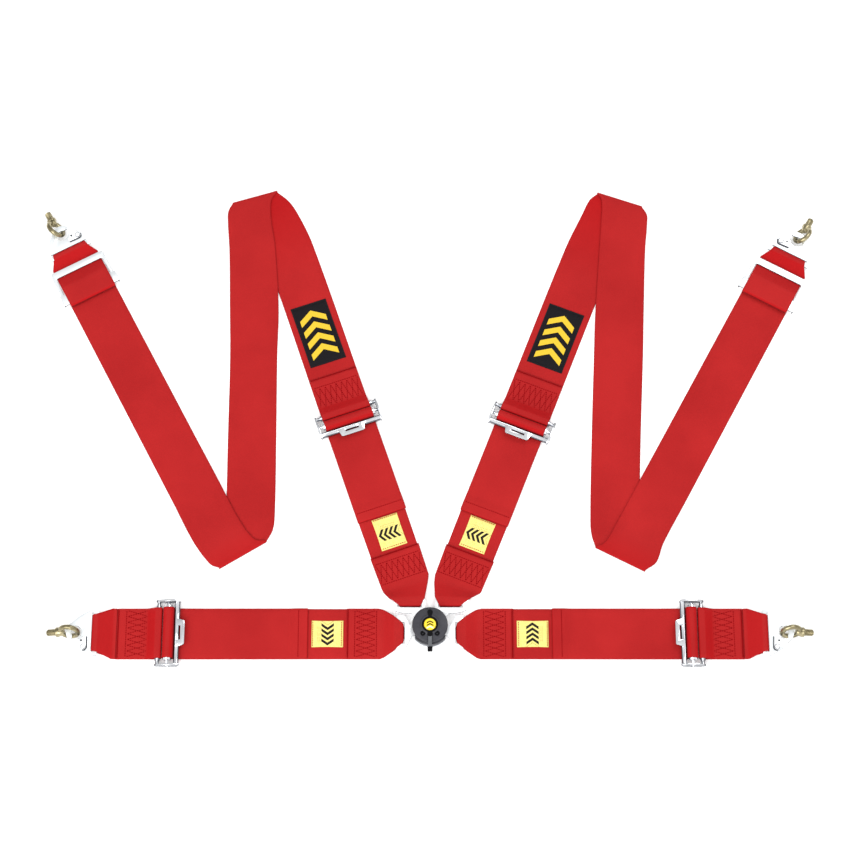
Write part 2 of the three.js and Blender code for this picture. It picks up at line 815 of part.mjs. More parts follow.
// ---------------------------------------------------------------- adjusters
// The tilt-lock frame turns on its fixed bar; slots in the ears clear the grip bar.
function buildAdjusterFrame(name, gripAt) {
  const { gripHeight, fixedHeight, earInside, earThickness } = adjuster;
  const fixedAt = gripAt + adjuster.gripToFixed;
  const radius = Math.hypot(adjuster.gripToFixed, gripHeight - fixedHeight);
  const restAngle = 180 - THREE.MathUtils.radToDeg(
    Math.atan2(gripHeight - fixedHeight, adjuster.gripToFixed),
  );
  const slotHalf = adjuster.journalRadius + clearance;
  const tiltAngle = restAngle + adjuster.tilt;
  const slotPoint = (r, degrees) => arc(fixedAt, fixedHeight, r, degrees, degrees, 1)[0];
  const [restX, restZ] = slotPoint(radius, restAngle);
  const [tiltX, tiltZ] = slotPoint(radius, tiltAngle);
  const slotHole = [
    ...arc(restX, restZ, slotHalf, restAngle, restAngle - 180, 8),
    ...arc(fixedAt, fixedHeight, radius - slotHalf, restAngle, tiltAngle, 5).slice(1, -1),
    ...arc(tiltX, tiltZ, slotHalf, tiltAngle - 180, tiltAngle - 360, 8),
    ...arc(fixedAt, fixedHeight, radius + slotHalf, tiltAngle, restAngle, 5).slice(1, -1),
  ];
  const endAt = gripAt - adjuster.frameEnd;
  const ear = [
    [endAt, 5],
    [gripAt - 12, 0.6],
    [gripAt + 8, 0.6],
    ...arc(fixedAt, fixedHeight, 4.4, 280, 360, 6),
    ...arc(fixedAt, fixedHeight, 4.4, 0, 70, 4).slice(1),
    [gripAt + 4, 15.4],
    [gripAt - 10, 15.4],
    [endAt, 13],
  ];
  const outside = earInside + earThickness;
  const clampFrom = gripAt - adjuster.clampFrom;
  const clampTo = gripAt - adjuster.clampTo;
  const clamp = [
    [clampFrom, 6.4],
    [clampFrom + 2, 4.8],
    [clampTo - 2.2, 4.8],
    [clampTo, 7.4],
    [clampTo, 11.6],
    [clampTo - 1.6, 12.8],
    [clampFrom + 1.4, 12.4],
    [clampFrom, 11],
  ];
  const { elbowRadius, handleHalf, windowHalf } = adjuster;
  const elbow = outside - elbowRadius;
  const frameOutline = [
    ...arc(endAt + elbowRadius, elbow, elbowRadius, 90, 180, 5),
    ...arc(endAt + elbowRadius, -elbow, elbowRadius, 180, 270, 5),
    [fixedAt + 8, -outside],
    [fixedAt + 8, outside],
  ];
  const handleEnd = gripAt - adjuster.handleReach;
  const handleCorner = 3;
  const handle = plate([
    ...arc(handleEnd + handleCorner, handleHalf - handleCorner, handleCorner, 90, 180, 4),
    ...arc(handleEnd + handleCorner, handleCorner - handleHalf, handleCorner, 180, 270, 4),
    [clampTo - 2.4, -handleHalf - 3],
    [clampTo - 2.4, handleHalf + 3],
  ], 11, 13.6, [rectangle(
    gripAt - adjuster.windowFrom,
    -windowHalf,
    gripAt - adjuster.windowTo,
    windowHalf,
  )]);
  const bent = joined(
    sidePlate(ear, earInside, outside, [slotHole]),
    sidePlate(ear, -outside, -earInside, [slotHole]),
    sidePlate(clamp, -earInside - 1, earInside + 1),
  ).intersect(plate(frameOutline, 0, 20));
  const frame = joined(
    bent,
    crossBar(fixedAt, fixedHeight, adjuster.fixedRadius, -halfWebbing - 3, halfWebbing + 3),
    crossBar(fixedAt, fixedHeight, 2.6, -outside + 0.5, outside - 0.5),
    handle,
  );
  return piece(`adjuster_frame_${name}`, looks.chrome, frame);
}

function buildGripBar(name, gripAt) {
  const { gripHeight, gripRadius, journalRadius, earInside, earThickness } = adjuster;
  const reach = earInside + earThickness + 0.6;
  const bar = joined(
    crossBar(gripAt, gripHeight, gripRadius, -halfWebbing - 3, halfWebbing + 3, 24),
    crossBar(gripAt, gripHeight, journalRadius, -reach, reach, 16),
  );
  return piece(`adjuster_grip_bar_${name}`, looks.chrome, bar);
}

// ---------------------------------------------------------------- slides
function buildSlide(name, hookAt) {
  const group = new THREE.Group();
  const innerEdge = hookAt - 79;
  const outerEdge = hookAt - 21.2;
  const { armInside, armOutside, bottom, top, barTop } = slide;
  const corner = 4;
  const outline = [
    ...arc(outerEdge - corner, armOutside - corner, corner, 0, 90, 4),
    ...arc(innerEdge + corner, armOutside - corner, corner, 90, 180, 4),
    ...arc(innerEdge + corner, corner - armOutside, corner, 180, 270, 4),
    ...arc(outerEdge - corner, corner - armOutside, corner, 270, 360, 4),
  ];
  const windowEnd = outerEdge - 11;
  const windowCorner = 3.5;
  const window = [
    [innerEdge + 8, -armInside],
    ...arc(windowEnd - windowCorner, windowCorner - armInside, windowCorner, 270, 360, 4),
    ...arc(windowEnd - windowCorner, armInside - windowCorner, windowCorner, 0, 90, 4),
    [innerEdge + 8, armInside],
  ];
  group.add(piece(`slide_frame_${name}`, looks.zinc, plate(outline, bottom, top, [window])));

  const barFrom = innerEdge - 1.5;
  const barTo = barFrom + 18;
  const tabInside = armOutside + 0.4;
  const bar = joined(
    plate(rectangle(barFrom, -tabInside - 2, barTo, tabInside + 2), top + 0.3, barTop),
    plate(rectangle(barFrom, tabInside, barTo, tabInside + 2), 3, barTop),
    plate(rectangle(barFrom, -tabInside - 2, barTo, -tabInside), 3, barTop),
  );
  group.add(piece(`slide_bar_${name}`, looks.steel, bar));
  return group;
}

// ---------------------------------------------------------------- hooks
// Hook pieces are built about the hole's centre, with the plate's middle plane at z = 0.
function buildHook(name, latchSide) {
  const group = new THREE.Group();
  const half = hook.thickness / 2;
  const bar = -hook.barToHole;
  const noseAngle = 58;
  const outline = [
    [bar - hook.barHalfWidth, -hook.halfWidth],
    [-19, -hook.halfWidth],
    [-4, -25.5],
    ...arc(hook.noseCentre, 0, hook.noseRadius, -noseAngle, noseAngle, 14),
    [-4, 25.5],
    [-19, hook.halfWidth],
    [bar - hook.barHalfWidth, hook.halfWidth],
  ];
  const slotEnd = bar + hookWrap + floorLayer + 0.5;
  const slot = rectangle(bar + hook.barHalfWidth, -hook.slotHalfLength, slotEnd, hook.slotHalfLength);
  const rivet = [-9.4, latchSide * 21.6];
  const mouth = plate(rectangle(-1.6, latchSide * 2, 7, latchSide * 40), -5, 5);
  const body = plate(outline, -half, half, [
    slot,
    ellipse(0.7, 0, 7.2, 9.6, 32),
    ellipse(...rivet, 2.3, 2.3, 16),
  ]).subtract(mouth);
  group.add(piece(`hook_plate_${name}`, looks.zinc, body));

  const latchBottom = half + 0.3;
  const latchTop = latchBottom + 1.8;
  const latchEnd = arc(rivet[0], latchSide * rivet[1], 4.6, 190, 40, 8);
  const latch = plate([
    [-13.2, 5.6],
    ...latchEnd,
    [8.6, 14],
    [8.6, 10.6],
    [-5, 10.6],
    [-9, 5.6],
  ].map(([x, y]) => [x, latchSide * y]), latchBottom, latchTop, [ellipse(...rivet, 2.3, 2.3, 16)]);
  group.add(piece(`hook_latch_${name}`, looks.zinc, latch));

  const rivetBody = joined(
    disc(...rivet, 1.95, -half, latchTop + 0.6, 16),
    disc(...rivet, 3.4, latchTop + 0.3, latchTop + 1.5, 20),
  );
  group.add(piece(`latch_rivet_${name}`, looks.steel, rivetBody));
  return group;
}

// The eye bolt's ring passes through the hole; its shank runs outward along x.
// The origin is the place on the ring's wire that lies in the hole.
function buildEyeBolt(name, latchSide, contactAngle) {
  const { ringRadius, wireRadius, collarStart, collarEnd, collarRadius, threadRadius, tip } = eyeBolt;
  const contact = degToRad(contactAngle);
  const back = ringRadius * (1 - Math.cos(contact));
  const aside = latchSide * ringRadius * Math.sin(contact);
  const ring = new THREE.TorusGeometry(ringRadius, wireRadius, 12, 32);
  ring.translate(ringRadius, 0, 0);
  const chamfer = 1;
  const shank = new THREE.LatheGeometry([
    [0, collarStart - 3],
    [threadRadius, collarStart - 3],
    [threadRadius, collarStart],
    [collarRadius, collarStart],
    [collarRadius, collarEnd],
    [threadRadius, collarEnd],
    [threadRadius, tip - chamfer],
    [threadRadius - chamfer, tip],
    [0, tip],
  ].map(([r, z]) => new THREE.Vector2(r, z)), 24);
  shank.rotateZ(-Math.PI / 2);
  ring.translate(-back, -aside, 0);
  shank.translate(-back, -aside, 0);
  return piece(`eye_bolt_${name}`, looks.gold, solid(ring).add(solid(shank)));
}

// ---------------------------------------------------------------- assembly
const harness = new THREE.Group();

function placed(frame, s) {
  const group = new THREE.Group();
  const [x, y] = frame.at(s, 0);
  group.position.set(x, y, 0);
  group.rotation.z = frame.angle;
  return group;
}

// A hook, its latch and its eye bolt, tilted up from the webbing loop at hookAt.
function placeHook(name, frame, hookAt, latchSide, set) {
  const mount = placed(frame, hookAt);
  const tilted = new THREE.Group();
  tilted.position.z = hook.barHeight;
  tilted.rotation.y = -degToRad(hook.tilt);
  const hole = new THREE.Group();
  hole.position.x = hook.barToHole;
  hole.add(buildHook(name, latchSide));
  tilted.add(hole);
  mount.add(tilted);

  const bolt = new THREE.Group();
  const tilt = degToRad(hook.tilt);
  const reach = hook.barToHole + set.along;
  bolt.position.set(
    reach * Math.cos(tilt),
    latchSide * set.aside,
    hook.barHeight + reach * Math.sin(tilt),
  );
  bolt.rotation.order = 'ZYX';
  bolt.rotation.y = degToRad(set.slope);
  bolt.rotation.x = -latchSide * degToRad(set.lean);
  bolt.add(buildEyeBolt(name, latchSide, set.contact));
  mount.add(bolt);
  harness.add(mount);
}

function placeLabel(name, look, frame, from, length, halfWidth, shift) {
  const group = placed(frame, from);
  const bottom = webbing.thickness + 0.3;
  const outline = rectangle(0, shift - halfWidth, length, shift + halfWidth);
  group.add(piece(name, look, plate(outline, bottom, bottom + 0.7)));
  harness.add(group);
}

function placeAdjuster(name, frame, gripAt) {
  const group = placed(frame, 0);
  group.add(buildAdjusterFrame(name, gripAt));
  group.add(buildGripBar(name, gripAt));
  harness.add(group);
}

harness.add(buildBuckle());
harness.add(buildKnob());

const labelHalfWidth = 20;

for (const [name, side] of [['lap_left', -1], ['lap_right', 1]]) {
  const frame = strapFrame([0, lap.axisY], side < 0 ? 180 : 0);
  const lines = lapPlan(frame);
  harness.add(buildTongue(name, side, true));
  harness.add(piece(
    `webbing_${name}_inner`,
    looks.webbing,
    innerWebbing(lines, lap.tackAt, lap.hemAt, lap.gripAt),
  ));
  harness.add(piece(
    `webbing_${name}_outer`,
    looks.webbing,
    outerWebbing(frame, lap.gripAt + adjuster.gripToFixed, lap.hookAt),
  ));
  const length = lap.labelTo - lap.labelFrom;
  placeLabel(`label_${name}`, looks.label, frame, lap.labelFrom, length, labelHalfWidth, 0);
  placeAdjuster(name, frame, lap.gripAt);
  placeHook(name, frame, lap.hookAt, -side, lap.bolt);
}

for (const layout of [shoulderLeft, shoulderRight]) {
  const { side } = layout;
  const name = side < 0 ? 'shoulder_left' : 'shoulder_right';
  const tilt = degToRad(layout.tilt);
  const foot = [side * layout.offset * Math.cos(tilt), -layout.offset * Math.sin(tilt)];
  const frame = strapFrame(foot, 90 - side * layout.tilt);
  const rise = strapFrame([side * layout.riseFoot[0], layout.riseFoot[1]], 90 - side * layout.riseTilt);
  harness.add(buildTongue(name, side, false));
  harness.add(piece(
    `webbing_${name}_lower`,
    looks.webbing,
    innerWebbing(shoulderPlan(layout, frame), shoulder.tackAt, shoulder.hemAt, shoulder.gripAt),
  ));
  harness.add(piece(`webbing_${name}_main`, looks.webbing, mainWebbing(layout, frame, rise)));
  const length = shoulder.labelTo - shoulder.labelFrom;
  placeLabel(
    `label_${name}`,
    looks.label,
    frame,
    shoulder.labelFrom,
    length,
    labelHalfWidth,
    -layout.labelShift,
  );
  placeLabel(
    `patch_${name}`,
    looks.patch,
    frame,
    shoulder.patchFrom,
    shoulder.patchLength,
    shoulder.patchHalfWidth,
    0,
  );
  placeAdjuster(name, frame, shoulder.gripAt);
  const slideGroup = placed(rise, 0);
  slideGroup.add(buildSlide(name, layout.hookAt));
  harness.add(slideGroup);
  placeHook(name, rise, layout.hookAt, side, shoulder.bolt);
}

export default harness;
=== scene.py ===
"""A racing harness laid flat on a pale floor: webbing, stitching, labels and hardware.

All sizes are in millimetres until a mesh is made; every strap has its own frame, with
s running outward along the webbing and v across it, to the left of the outward direction.
"""

import json
import math

import bmesh
import bpy
from mathutils import Matrix, Vector
from mathutils.geometry import tessellate_polygon

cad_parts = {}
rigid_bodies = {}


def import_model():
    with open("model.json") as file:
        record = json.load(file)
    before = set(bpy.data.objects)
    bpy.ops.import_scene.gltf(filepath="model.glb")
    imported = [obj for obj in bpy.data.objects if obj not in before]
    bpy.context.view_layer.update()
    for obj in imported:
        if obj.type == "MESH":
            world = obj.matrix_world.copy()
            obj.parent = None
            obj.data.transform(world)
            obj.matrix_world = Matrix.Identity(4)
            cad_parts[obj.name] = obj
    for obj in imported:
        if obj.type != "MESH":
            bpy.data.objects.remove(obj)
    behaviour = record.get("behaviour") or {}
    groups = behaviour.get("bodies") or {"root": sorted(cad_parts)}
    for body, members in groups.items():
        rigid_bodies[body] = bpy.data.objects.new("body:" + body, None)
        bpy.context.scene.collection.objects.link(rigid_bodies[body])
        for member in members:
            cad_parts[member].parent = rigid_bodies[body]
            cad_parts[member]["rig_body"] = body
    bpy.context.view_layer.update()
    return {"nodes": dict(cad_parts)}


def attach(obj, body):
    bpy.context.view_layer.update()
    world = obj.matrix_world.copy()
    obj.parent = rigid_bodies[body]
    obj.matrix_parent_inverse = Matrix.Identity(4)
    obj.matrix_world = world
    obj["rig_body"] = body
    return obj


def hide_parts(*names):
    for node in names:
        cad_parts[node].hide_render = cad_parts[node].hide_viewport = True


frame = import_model()
nodes = frame["nodes"]
MM = 0.001

# -------- camera
CAMERA_AT = (-1.5, -671.4, 3015.0)
LOOKS_AT = (-1.5, 308.2, 0.0)
LENS = 87.4
SENSOR = 36.0


def into_scene(obj):
    bpy.context.scene.collection.objects.link(obj)
    return obj


def add_camera():
    data = bpy.data.cameras.new("camera")
    data.lens = LENS
    data.sensor_width = SENSOR
    data.clip_end = 20
    camera = into_scene(bpy.data.objects.new("camera", data))
    camera.location = Vector(CAMERA_AT) * MM
    aim = Vector(LOOKS_AT) - Vector(CAMERA_AT)
    camera.rotation_euler = aim.to_track_quat("-Z", "Y").to_euler()
    bpy.context.scene.camera = camera


add_camera()

# -------- sizes, as the CAD model has them
WIDTH = 76.0
HALF = WIDTH / 2
THICK = 1.6
FLOOR_LAYER = 0.8
UPPER_LAYER = 2.8
SEWN_LAYER = 2.5
SEWN_TOP = SEWN_LAYER + THICK / 2
HEM_FOLD = 0.85
HEM_TOP = UPPER_LAYER + 2 * HEM_FOLD + THICK / 2
CLEAR = 0.35

BAR_S = 45.0
BAR_Z = 7.0
BAR_WRAP = 2.65

GRIP_R = 6.1
GRIP_Z = 10.0
GRIP_TO_FIXED = 14.6
FIXED_R = 4.0
FIXED_Z = 6.4
FIXED_WRAP = FIXED_R + CLEAR + FLOOR_LAYER
SLIDE_BAR_TOP = 9.4

HOOK_Z = 8.3
HOOK_WRAP = 4.9
HOOK_TO_HOLE = 26.7
HOOK_TILT = 9.0

# The side of each hook its latch is on: 1 is +v, -1 is -v.
LATCH_SIDE = {"lap_left": 1, "lap_right": -1, "shoulder_left": -1, "shoulder_right": 1}
BOLT = {
    "ring": 13.0, "wire": 3.8, "boss_from": 21.0, "collar": (29.0, 33.0), "collar_radius": 7.2,
    "thread_radius": 5.0, "groove": 0.75, "tip": 48.0, "pitch": 1.5,
}
LAP_BOLT = {"lean": 72.0, "slope": 16.0, "contact": 35.0, "along": -1.0, "aside": 1.7}
SHOULDER_BOLT = {"lean": 51.0, "slope": 13.5, "contact": 26.0, "along": 2.2, "aside": -0.4}
LATCH = {"rivet": (-9.4, 21.6), "low": 2.05, "high": 3.85}
LABEL_HALF = 20.0
PATCH_HALF = 28.6
CLOTH = {"z": 2.02, "half_thick": 0.36}
LABEL_SEAM_Z = 2.36
PATCH_SEAM_Z = 2.38
PATCH_MARK = {"first": 33.0, "step": 19.0, "half": 20.5, "band": 9.5, "drop": 13.0}

LAP_Y = -10.0
# Places along each strap: the rows of each sewn box, its cut end, and so on outward.
# far_tack is counted from the adjuster's fixed bar.
LAP = {
    "sewn": (79, 111), "tack": 122.5, "label": (128.0, 174.5), "hem": 181.0, "hem_row": 13,
    "grip": 385.5, "far_sewn": (414, 448), "far_tack": 61, "hook": 492.3,
}
SHOULDER = {
    "sewn": (83, 115.5), "tack": 127.0, "label": (132.5, 182.5), "hem": 185.0, "hem_row": 13.5,
    "grip": 344.0, "far_sewn": (373, 409), "far_tack": 65, "patch": (443.0, 545.0),
}
STRAPS = {
    "shoulder_left": {
        "side": -1, "tilt": 19.0, "offset": 12.4, "label_shift": 2.3,
        "rise_foot": (186.7, -100.3), "rise_tilt": 28.25, "hook": 792.3,
    },
    "shoulder_right": {
        "side": 1, "tilt": 21.4, "offset": 14.6, "label_shift": 0.0,
        "rise_foot": (180.3, -99.3), "rise_tilt": 28.84, "hook": 784.0,
    },
}
# Runs between the folds as (outer x, outer y, inner x, inner y, z), x counted outward.
FOLDED_RUNS = {
    "shoulder_left": {
        "before_top": [(277, 634, 208, 664, 0.8), (297, 661, 223, 686, 0.8)],
        "top": (311, 680, 241, 701),
        "vertical": [
            (317, 668, 250, 686, 3.6), (317.5, 650, 250, 658, 3.2), (313.5, 600, 242, 606, 2.8),
            (310, 505, 234.5, 505, 2.8), (307.5, 425, 235, 425, 0.8), (307, 290, 233.5, 290, 0.8),
            (306.5, 165, 233, 170, 0.8), (309, 112, 236, 147, 0.8),
        ],
        "bottom": (314, 90, 244, 132),
        "after_bottom": [(327, 95, 262, 134, 3.8)],
    },
    "shoulder_right": {
        "before_top": [(306, 636, 239, 662, 0.8), (322, 660, 252, 688, 0.8)],
        "top": (334, 674, 264, 698),
        "vertical": [
            (341, 662, 270.5, 686, 3.6), (341, 645, 269, 652, 3.2), (336.5, 600, 265, 606, 2.8),
            (331, 497, 256, 497, 2.8), (327.5, 420, 252, 420, 0.8), (320, 290, 245.5, 290, 0.8),
            (314.5, 160, 240.5, 165, 0.8), (316, 108, 242, 140, 0.8),
        ],
        "bottom": (320, 86, 247, 123),
        "after_bottom": [(337, 98, 262, 130, 3.8)],
    },
}


# -------- small helpers
def lerp(a, b, t):
    return a + (b - a) * t


def piece(mesh, material, body, node=None):
    """Puts a mesh on a body under its own name; node is the CAD piece it stands for."""
    obj = into_scene(bpy.data.objects.new(mesh.name, mesh))
    mesh.materials.clear()
    mesh.materials.append(material)
    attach(obj, body)
    if node is not None:
        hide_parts(node)
    return obj


def mesh_of(name, points, faces):
    mesh = bpy.data.meshes.new(name)
    mesh.from_pydata([tuple(Vector(p) * MM) for p in points], [], faces)
    mesh.validate()
    for polygon in mesh.polygons:
        polygon.use_smooth = True
    return mesh


def tube_faces(rings, sides, base=0, closed=False):
    """Faces of a tube of rings, with flat ends unless it closes on itself."""
    faces = []
    for i in range(rings if closed else rings - 1):
        a, b = base + i * sides, base + (i + 1) % rings * sides
        for j in range(sides):
            n = (j + 1) % sides
            faces.append((a + j, a + n, b + n, b + j))
    if not closed:
        last = base + (rings - 1) * sides
        faces.append(tuple(range(base + sides - 1, base - 1, -1)))
        faces.append(tuple(range(last, last + sides)))
    return faces


def face_out(mesh):
    """Turns every face of a closed mesh outward."""
    bm = bmesh.new()
    bm.from_mesh(mesh)
    bmesh.ops.recalc_face_normals(bm, faces=bm.faces)
    bm.to_mesh(mesh)
    bm.free()
    return mesh


# -------- node materials
def linear(display):
    """A display colour, 0 to 255, as a linear one."""
    shares = [c / 255 for c in display]
    return (*[c / 12.92 if c <= 0.04045 else ((c + 0.055) / 1.055) ** 2.4 for c in shares], 1.0)


class Nodes:
    """A short way to write a material's node tree."""

    def __init__(self, name):
        self.material = bpy.data.materials.new(name)
        self.material.use_nodes = True
        self.tree = self.material.node_tree
        self.shader = self.tree.nodes["Principled BSDF"]

    def add(self, kind, **settings):
        made = self.tree.nodes.new(kind)
        for key, value in settings.items():
            setattr(made, key, value)
        return made

    def wire(self, source, target):
        self.tree.links.new(source, target)

    def value(self, source, socket):
        if hasattr(source, "is_output"):
            self.wire(source, socket)
        else:
            socket.default_value = source

    def math(self, operation, a, b=0.0):
        made = self.add("ShaderNodeMath", operation=operation)
        for source, socket in zip((a, b), made.inputs):
            self.value(source, socket)
        return made.outputs[0]

    def mix(self, share, *colors):
        """A mix of two colours; each is a socket or a display colour."""
        made = self.add("ShaderNodeMix", data_type="RGBA")
        self.value(share, made.inputs[0])
        for color, index in zip(colors, (6, 7)):
            self.value(linear(color) if isinstance(color, tuple) else color, made.inputs[index])
        return made.outputs[2]

    def noise(self, scale, detail=2.0):
        made = self.add("ShaderNodeTexNoise")
        made.inputs["Scale"].default_value = scale
        made.inputs["Detail"].default_value = detail
        self.wire(self.add("ShaderNodeTexCoord").outputs["Object"], made.inputs["Vector"])
        return made.outputs["Fac"]

    def times(self, a, b):
        return self.math("MULTIPLY", a, b)

    def wave(self, source, pitch):
        """A sine from -1 to 1 that comes round once in each pitch."""
        return self.math("SINE", self.times(source, 2 * math.pi / pitch))

    def range(self, source, low, high, to_low=0.0, to_high=1.0):
        made = self.add("ShaderNodeMapRange")
        self.value(source, made.inputs[0])
        for index, number in enumerate((low, high, to_low, to_high)):
            made.inputs[index + 1].default_value = number
        return made.outputs[0]

    def bump(self, height, strength, distance):
        made = self.add("ShaderNodeBump")
        made.inputs["Strength"].default_value = strength
        made.inputs["Distance"].default_value = distance
        self.wire(height, made.inputs["Height"])
        self.wire(made.outputs[0], self.shader.inputs["Normal"])

    def surface(self, color, roughness, **fixed):
        self.value(color, self.shader.inputs["Base Color"])
        self.value(roughness, self.shader.inputs["Roughness"])
        for key, number in fixed.items():
            self.shader.inputs[key.replace("_", " ")].default_value = number
        return self.material


def webbing_coordinates(made):
    """Millimetres along and across the webbing, from its UV map."""
    uv = made.add("ShaderNodeUVMap", uv_map="webbing")
    split = made.add("ShaderNodeSeparateXYZ")
    made.wire(uv.outputs[0], split.inputs[0])
    return [made.times(split.outputs[k], 1000.0) for k in (0, 1)]


WEAVE = {"band": 6.3, "slant": 0.55, "rib": 1.7, "cord": 1.05}


def webbing_material(name, light, dark, bent_shade, edge_shade, turned_shade):
    """Ribbed polyester: fine ribs across, in twill bands that change direction.

    Its edges get a painted shade. Where the webbing is bent out of its flat lie, or lies close under
    another layer, it gets a painted shade, and where it has turned right over it gets a darker painted
    shade.
    """
    made = Nodes(name)
    along, across = webbing_coordinates(made)
    band = made.math("PINGPONG", across, WEAVE["band"])
    slant = made.math("ADD", along, made.times(band, WEAVE["slant"]))
    rib = made.wave(slant, WEAVE["rib"])
    cords = made.wave(across, WEAVE["cord"])
    weave = made.math("ADD", made.times(rib, 0.6), made.times(cords, 0.4))
    grain = made.noise(900.0, 3.0)
    cloud = made.noise(9.0, 3.0)
    shade = made.range(weave, -1.0, 1.0, 0.30, 0.0)
    shade = made.math("ADD", shade, made.range(grain, 0.35, 0.65, 0.0, 0.2))
    shade = made.math("ADD", shade, made.range(cloud, 0.35, 0.65, -0.06, 0.16))
    slope = made.add("ShaderNodeAttribute", attribute_name="slope").outputs["Fac"]
    color = made.mix(shade, light, dark)
    # painted shade where the webbing leans out of its flat lie or lies close under another layer
    color = made.mix(made.range(slope, 0.01, 0.13, 0.0, 0.75), color, bent_shade)
    # painted shade along both edges of the webbing
    edge = made.range(made.math("ABSOLUTE", across), HALF - 1.5, HALF - 0.3, 0.0, 0.55)
    color = made.mix(edge, color, edge_shade)
    # darker painted shade where the webbing has turned steeply away from level
    color = made.mix(made.range(slope, 0.35, 0.9, 0.0, 0.85), color, turned_shade)
    height = made.math("ADD", weave, made.times(grain, 0.7))
    made.bump(height, 0.55, 0.00028)
    rough = made.range(cloud, 0.3, 0.7, 0.68, 0.8)
    return made.surface(color, rough, Sheen_Weight=0.02, Sheen_Roughness=0.5, Specular_IOR_Level=0.12)


def metal_material(name, light, dark, rough, bump_size, grain_scale=60.0, worn=0.3, metallic=1.0):
    """Plated metal: cloudy roughness, faint pits and slightly duller patches."""
    made = Nodes(name)
    cloud = made.noise(grain_scale, 4.0)
    fine = made.noise(grain_scale * 22, 2.0)
    color = made.mix(made.range(cloud, 0.35, 0.7, 0.0, worn), light, dark)
    roughness = made.range(cloud, 0.3, 0.7, rough[0], rough[1])
    made.bump(fine, 0.25, bump_size)
    return made.surface(color, roughness, Metallic=metallic)


def plastic_material(name, light, dark, rough=(0.38, 0.5), gloss=0.5):
    made = Nodes(name)
    cloud = made.noise(70.0, 3.0)
    leather = made.noise(1500.0, 1.0)
    color = made.mix(made.range(cloud, 0.3, 0.7, 0.0, 1.0), light, dark)
    made.bump(leather, 0.25, 0.0001)
    return made.surface(
        color, made.range(cloud, 0.3, 0.7, rough[0], rough[1]), Specular_IOR_Level=gloss
    )


def thread_material(name, light, dark):
    made = Nodes(name)
    twist = made.noise(1400.0, 2.0)
    color = made.mix(made.range(twist, 0.35, 0.65), light, dark)
    made.bump(twist, 0.4, 0.0002)
    return made.surface(color, 0.8, Specular_IOR_Level=0.03)


def inside(made, source, middle, reach):
    """One where source is within reach of middle, and zero elsewhere."""
    away = made.math("ABSOLUTE", made.math("SUBTRACT", source, middle))
    return made.math("LESS_THAN", away, reach)


def cloth_material(name, light, dark, mark=None, mark_color=None):
    """A fine woven cloth; mark gives a share of mark_color from (along, across)."""
    made = Nodes(name)
    along, across = webbing_coordinates(made)
    weave = made.times(made.wave(along, 0.62), made.wave(across, 0.48))
    grain = made.noise(700.0, 3.0)
    shade = made.math("ADD", made.range(weave, -1.0, 1.0, 0.35, 0.0), made.range(grain, 0.35, 0.65))
    color = made.mix(made.times(shade, 0.55), light, dark)
    if mark is not None:
        color = made.mix(mark(made, along, across), color, mark_color)
    made.bump(made.math("ADD", weave, grain), 0.4, 0.00015)
    return made.surface(color, 0.75, Sheen_Weight=0.03, Specular_IOR_Level=0.15)


# Marks on a label, in millimetres from its inner end and from its middle line.
LABEL_ROW = 23.0
CHEVRONS = {"step": 3.9, "band": 2.25, "slant": 0.7, "half": 9.2, "middle": 3.2, "reach": 17.0}
TICKS = {"rows": (11.0, 14.2), "step": 1.3, "band": 0.62, "half": 0.7, "reach": 12.5, "share": 0.45}


def label_mark(made, along, across):
    """A row of chevrons, and two rows of small ticks beside it."""

    def steps(source, facts):
        return made.math("LESS_THAN", made.math("PINGPONG", source, facts["step"]), facts["band"])

    def row(middle, source, source_middle, facts):
        length = inside(made, source, source_middle, facts["reach"])
        return made.times(inside(made, along, middle, facts["half"]), length)

    fold = made.math("ABSOLUTE", made.math("SUBTRACT", along, LABEL_ROW))
    slanted = made.math("ADD", across, made.times(fold, CHEVRONS["slant"]))
    field = row(LABEL_ROW, slanted, CHEVRONS["middle"], CHEVRONS)
    shown = made.times(steps(slanted, CHEVRONS), field)
    for offset in TICKS["rows"]:
        line = made.times(row(LABEL_ROW + offset, across, 0.0, TICKS), steps(across, TICKS))
        shown = made.math("MAXIMUM", shown, made.times(line, TICKS["share"]))
    return shown


# The red webbing's last three colours are painted shade: on bends, along the edges, and on steep turns.
RED = webbing_material(
    "red_webbing", (178, 32, 32), (122, 12, 16), (168, 5, 11), (142, 5, 12), (86, 3, 9)
)
THREAD = thread_material("dark_red_thread", (148, 5, 13), (116, 3, 10))
CHROME = metal_material("polished_chrome", (232, 234, 238), (184, 187, 193), (0.07, 0.18), 0.00002)
ZINC = metal_material(
    "bright_zinc", (236, 240, 242), (210, 217, 220), (0.26, 0.42), 0.00004, metallic=0.65
)
WHITE_ZINC = metal_material(
    "white_zinc", (246, 248, 250), (226, 230, 233), (0.26, 0.42), 0.00004, metallic=0.5
)
# A darker copy of zinc for side faces: painted shade.
SHADED_ZINC = metal_material(
    "painted_shade_zinc", (116, 120, 126), (80, 84, 90), (0.3, 0.5), 0.00006, metallic=0.8
)
# A darker copy of chrome for side faces and the rivet rims: painted shade.
SHADED_CHROME = metal_material("painted_shade_chrome", (120, 123, 130), (66, 68, 74), (0.15, 0.3), 0.00003)
GOLD = metal_material("yellow_zinc", (170, 160, 128), (84, 76, 50), (0.16, 0.34), 0.00005, 90.0, 0.9)
STEEL = metal_material("plain_steel", (170, 173, 178), (110, 112, 116), (0.3, 0.5), 0.00004)
PLASTIC = plastic_material("dark_plastic", (56, 56, 62), (42, 42, 48), gloss=0.3)
GREY_PLASTIC = plastic_material("grey_plastic", (104, 106, 110), (84, 86, 90))
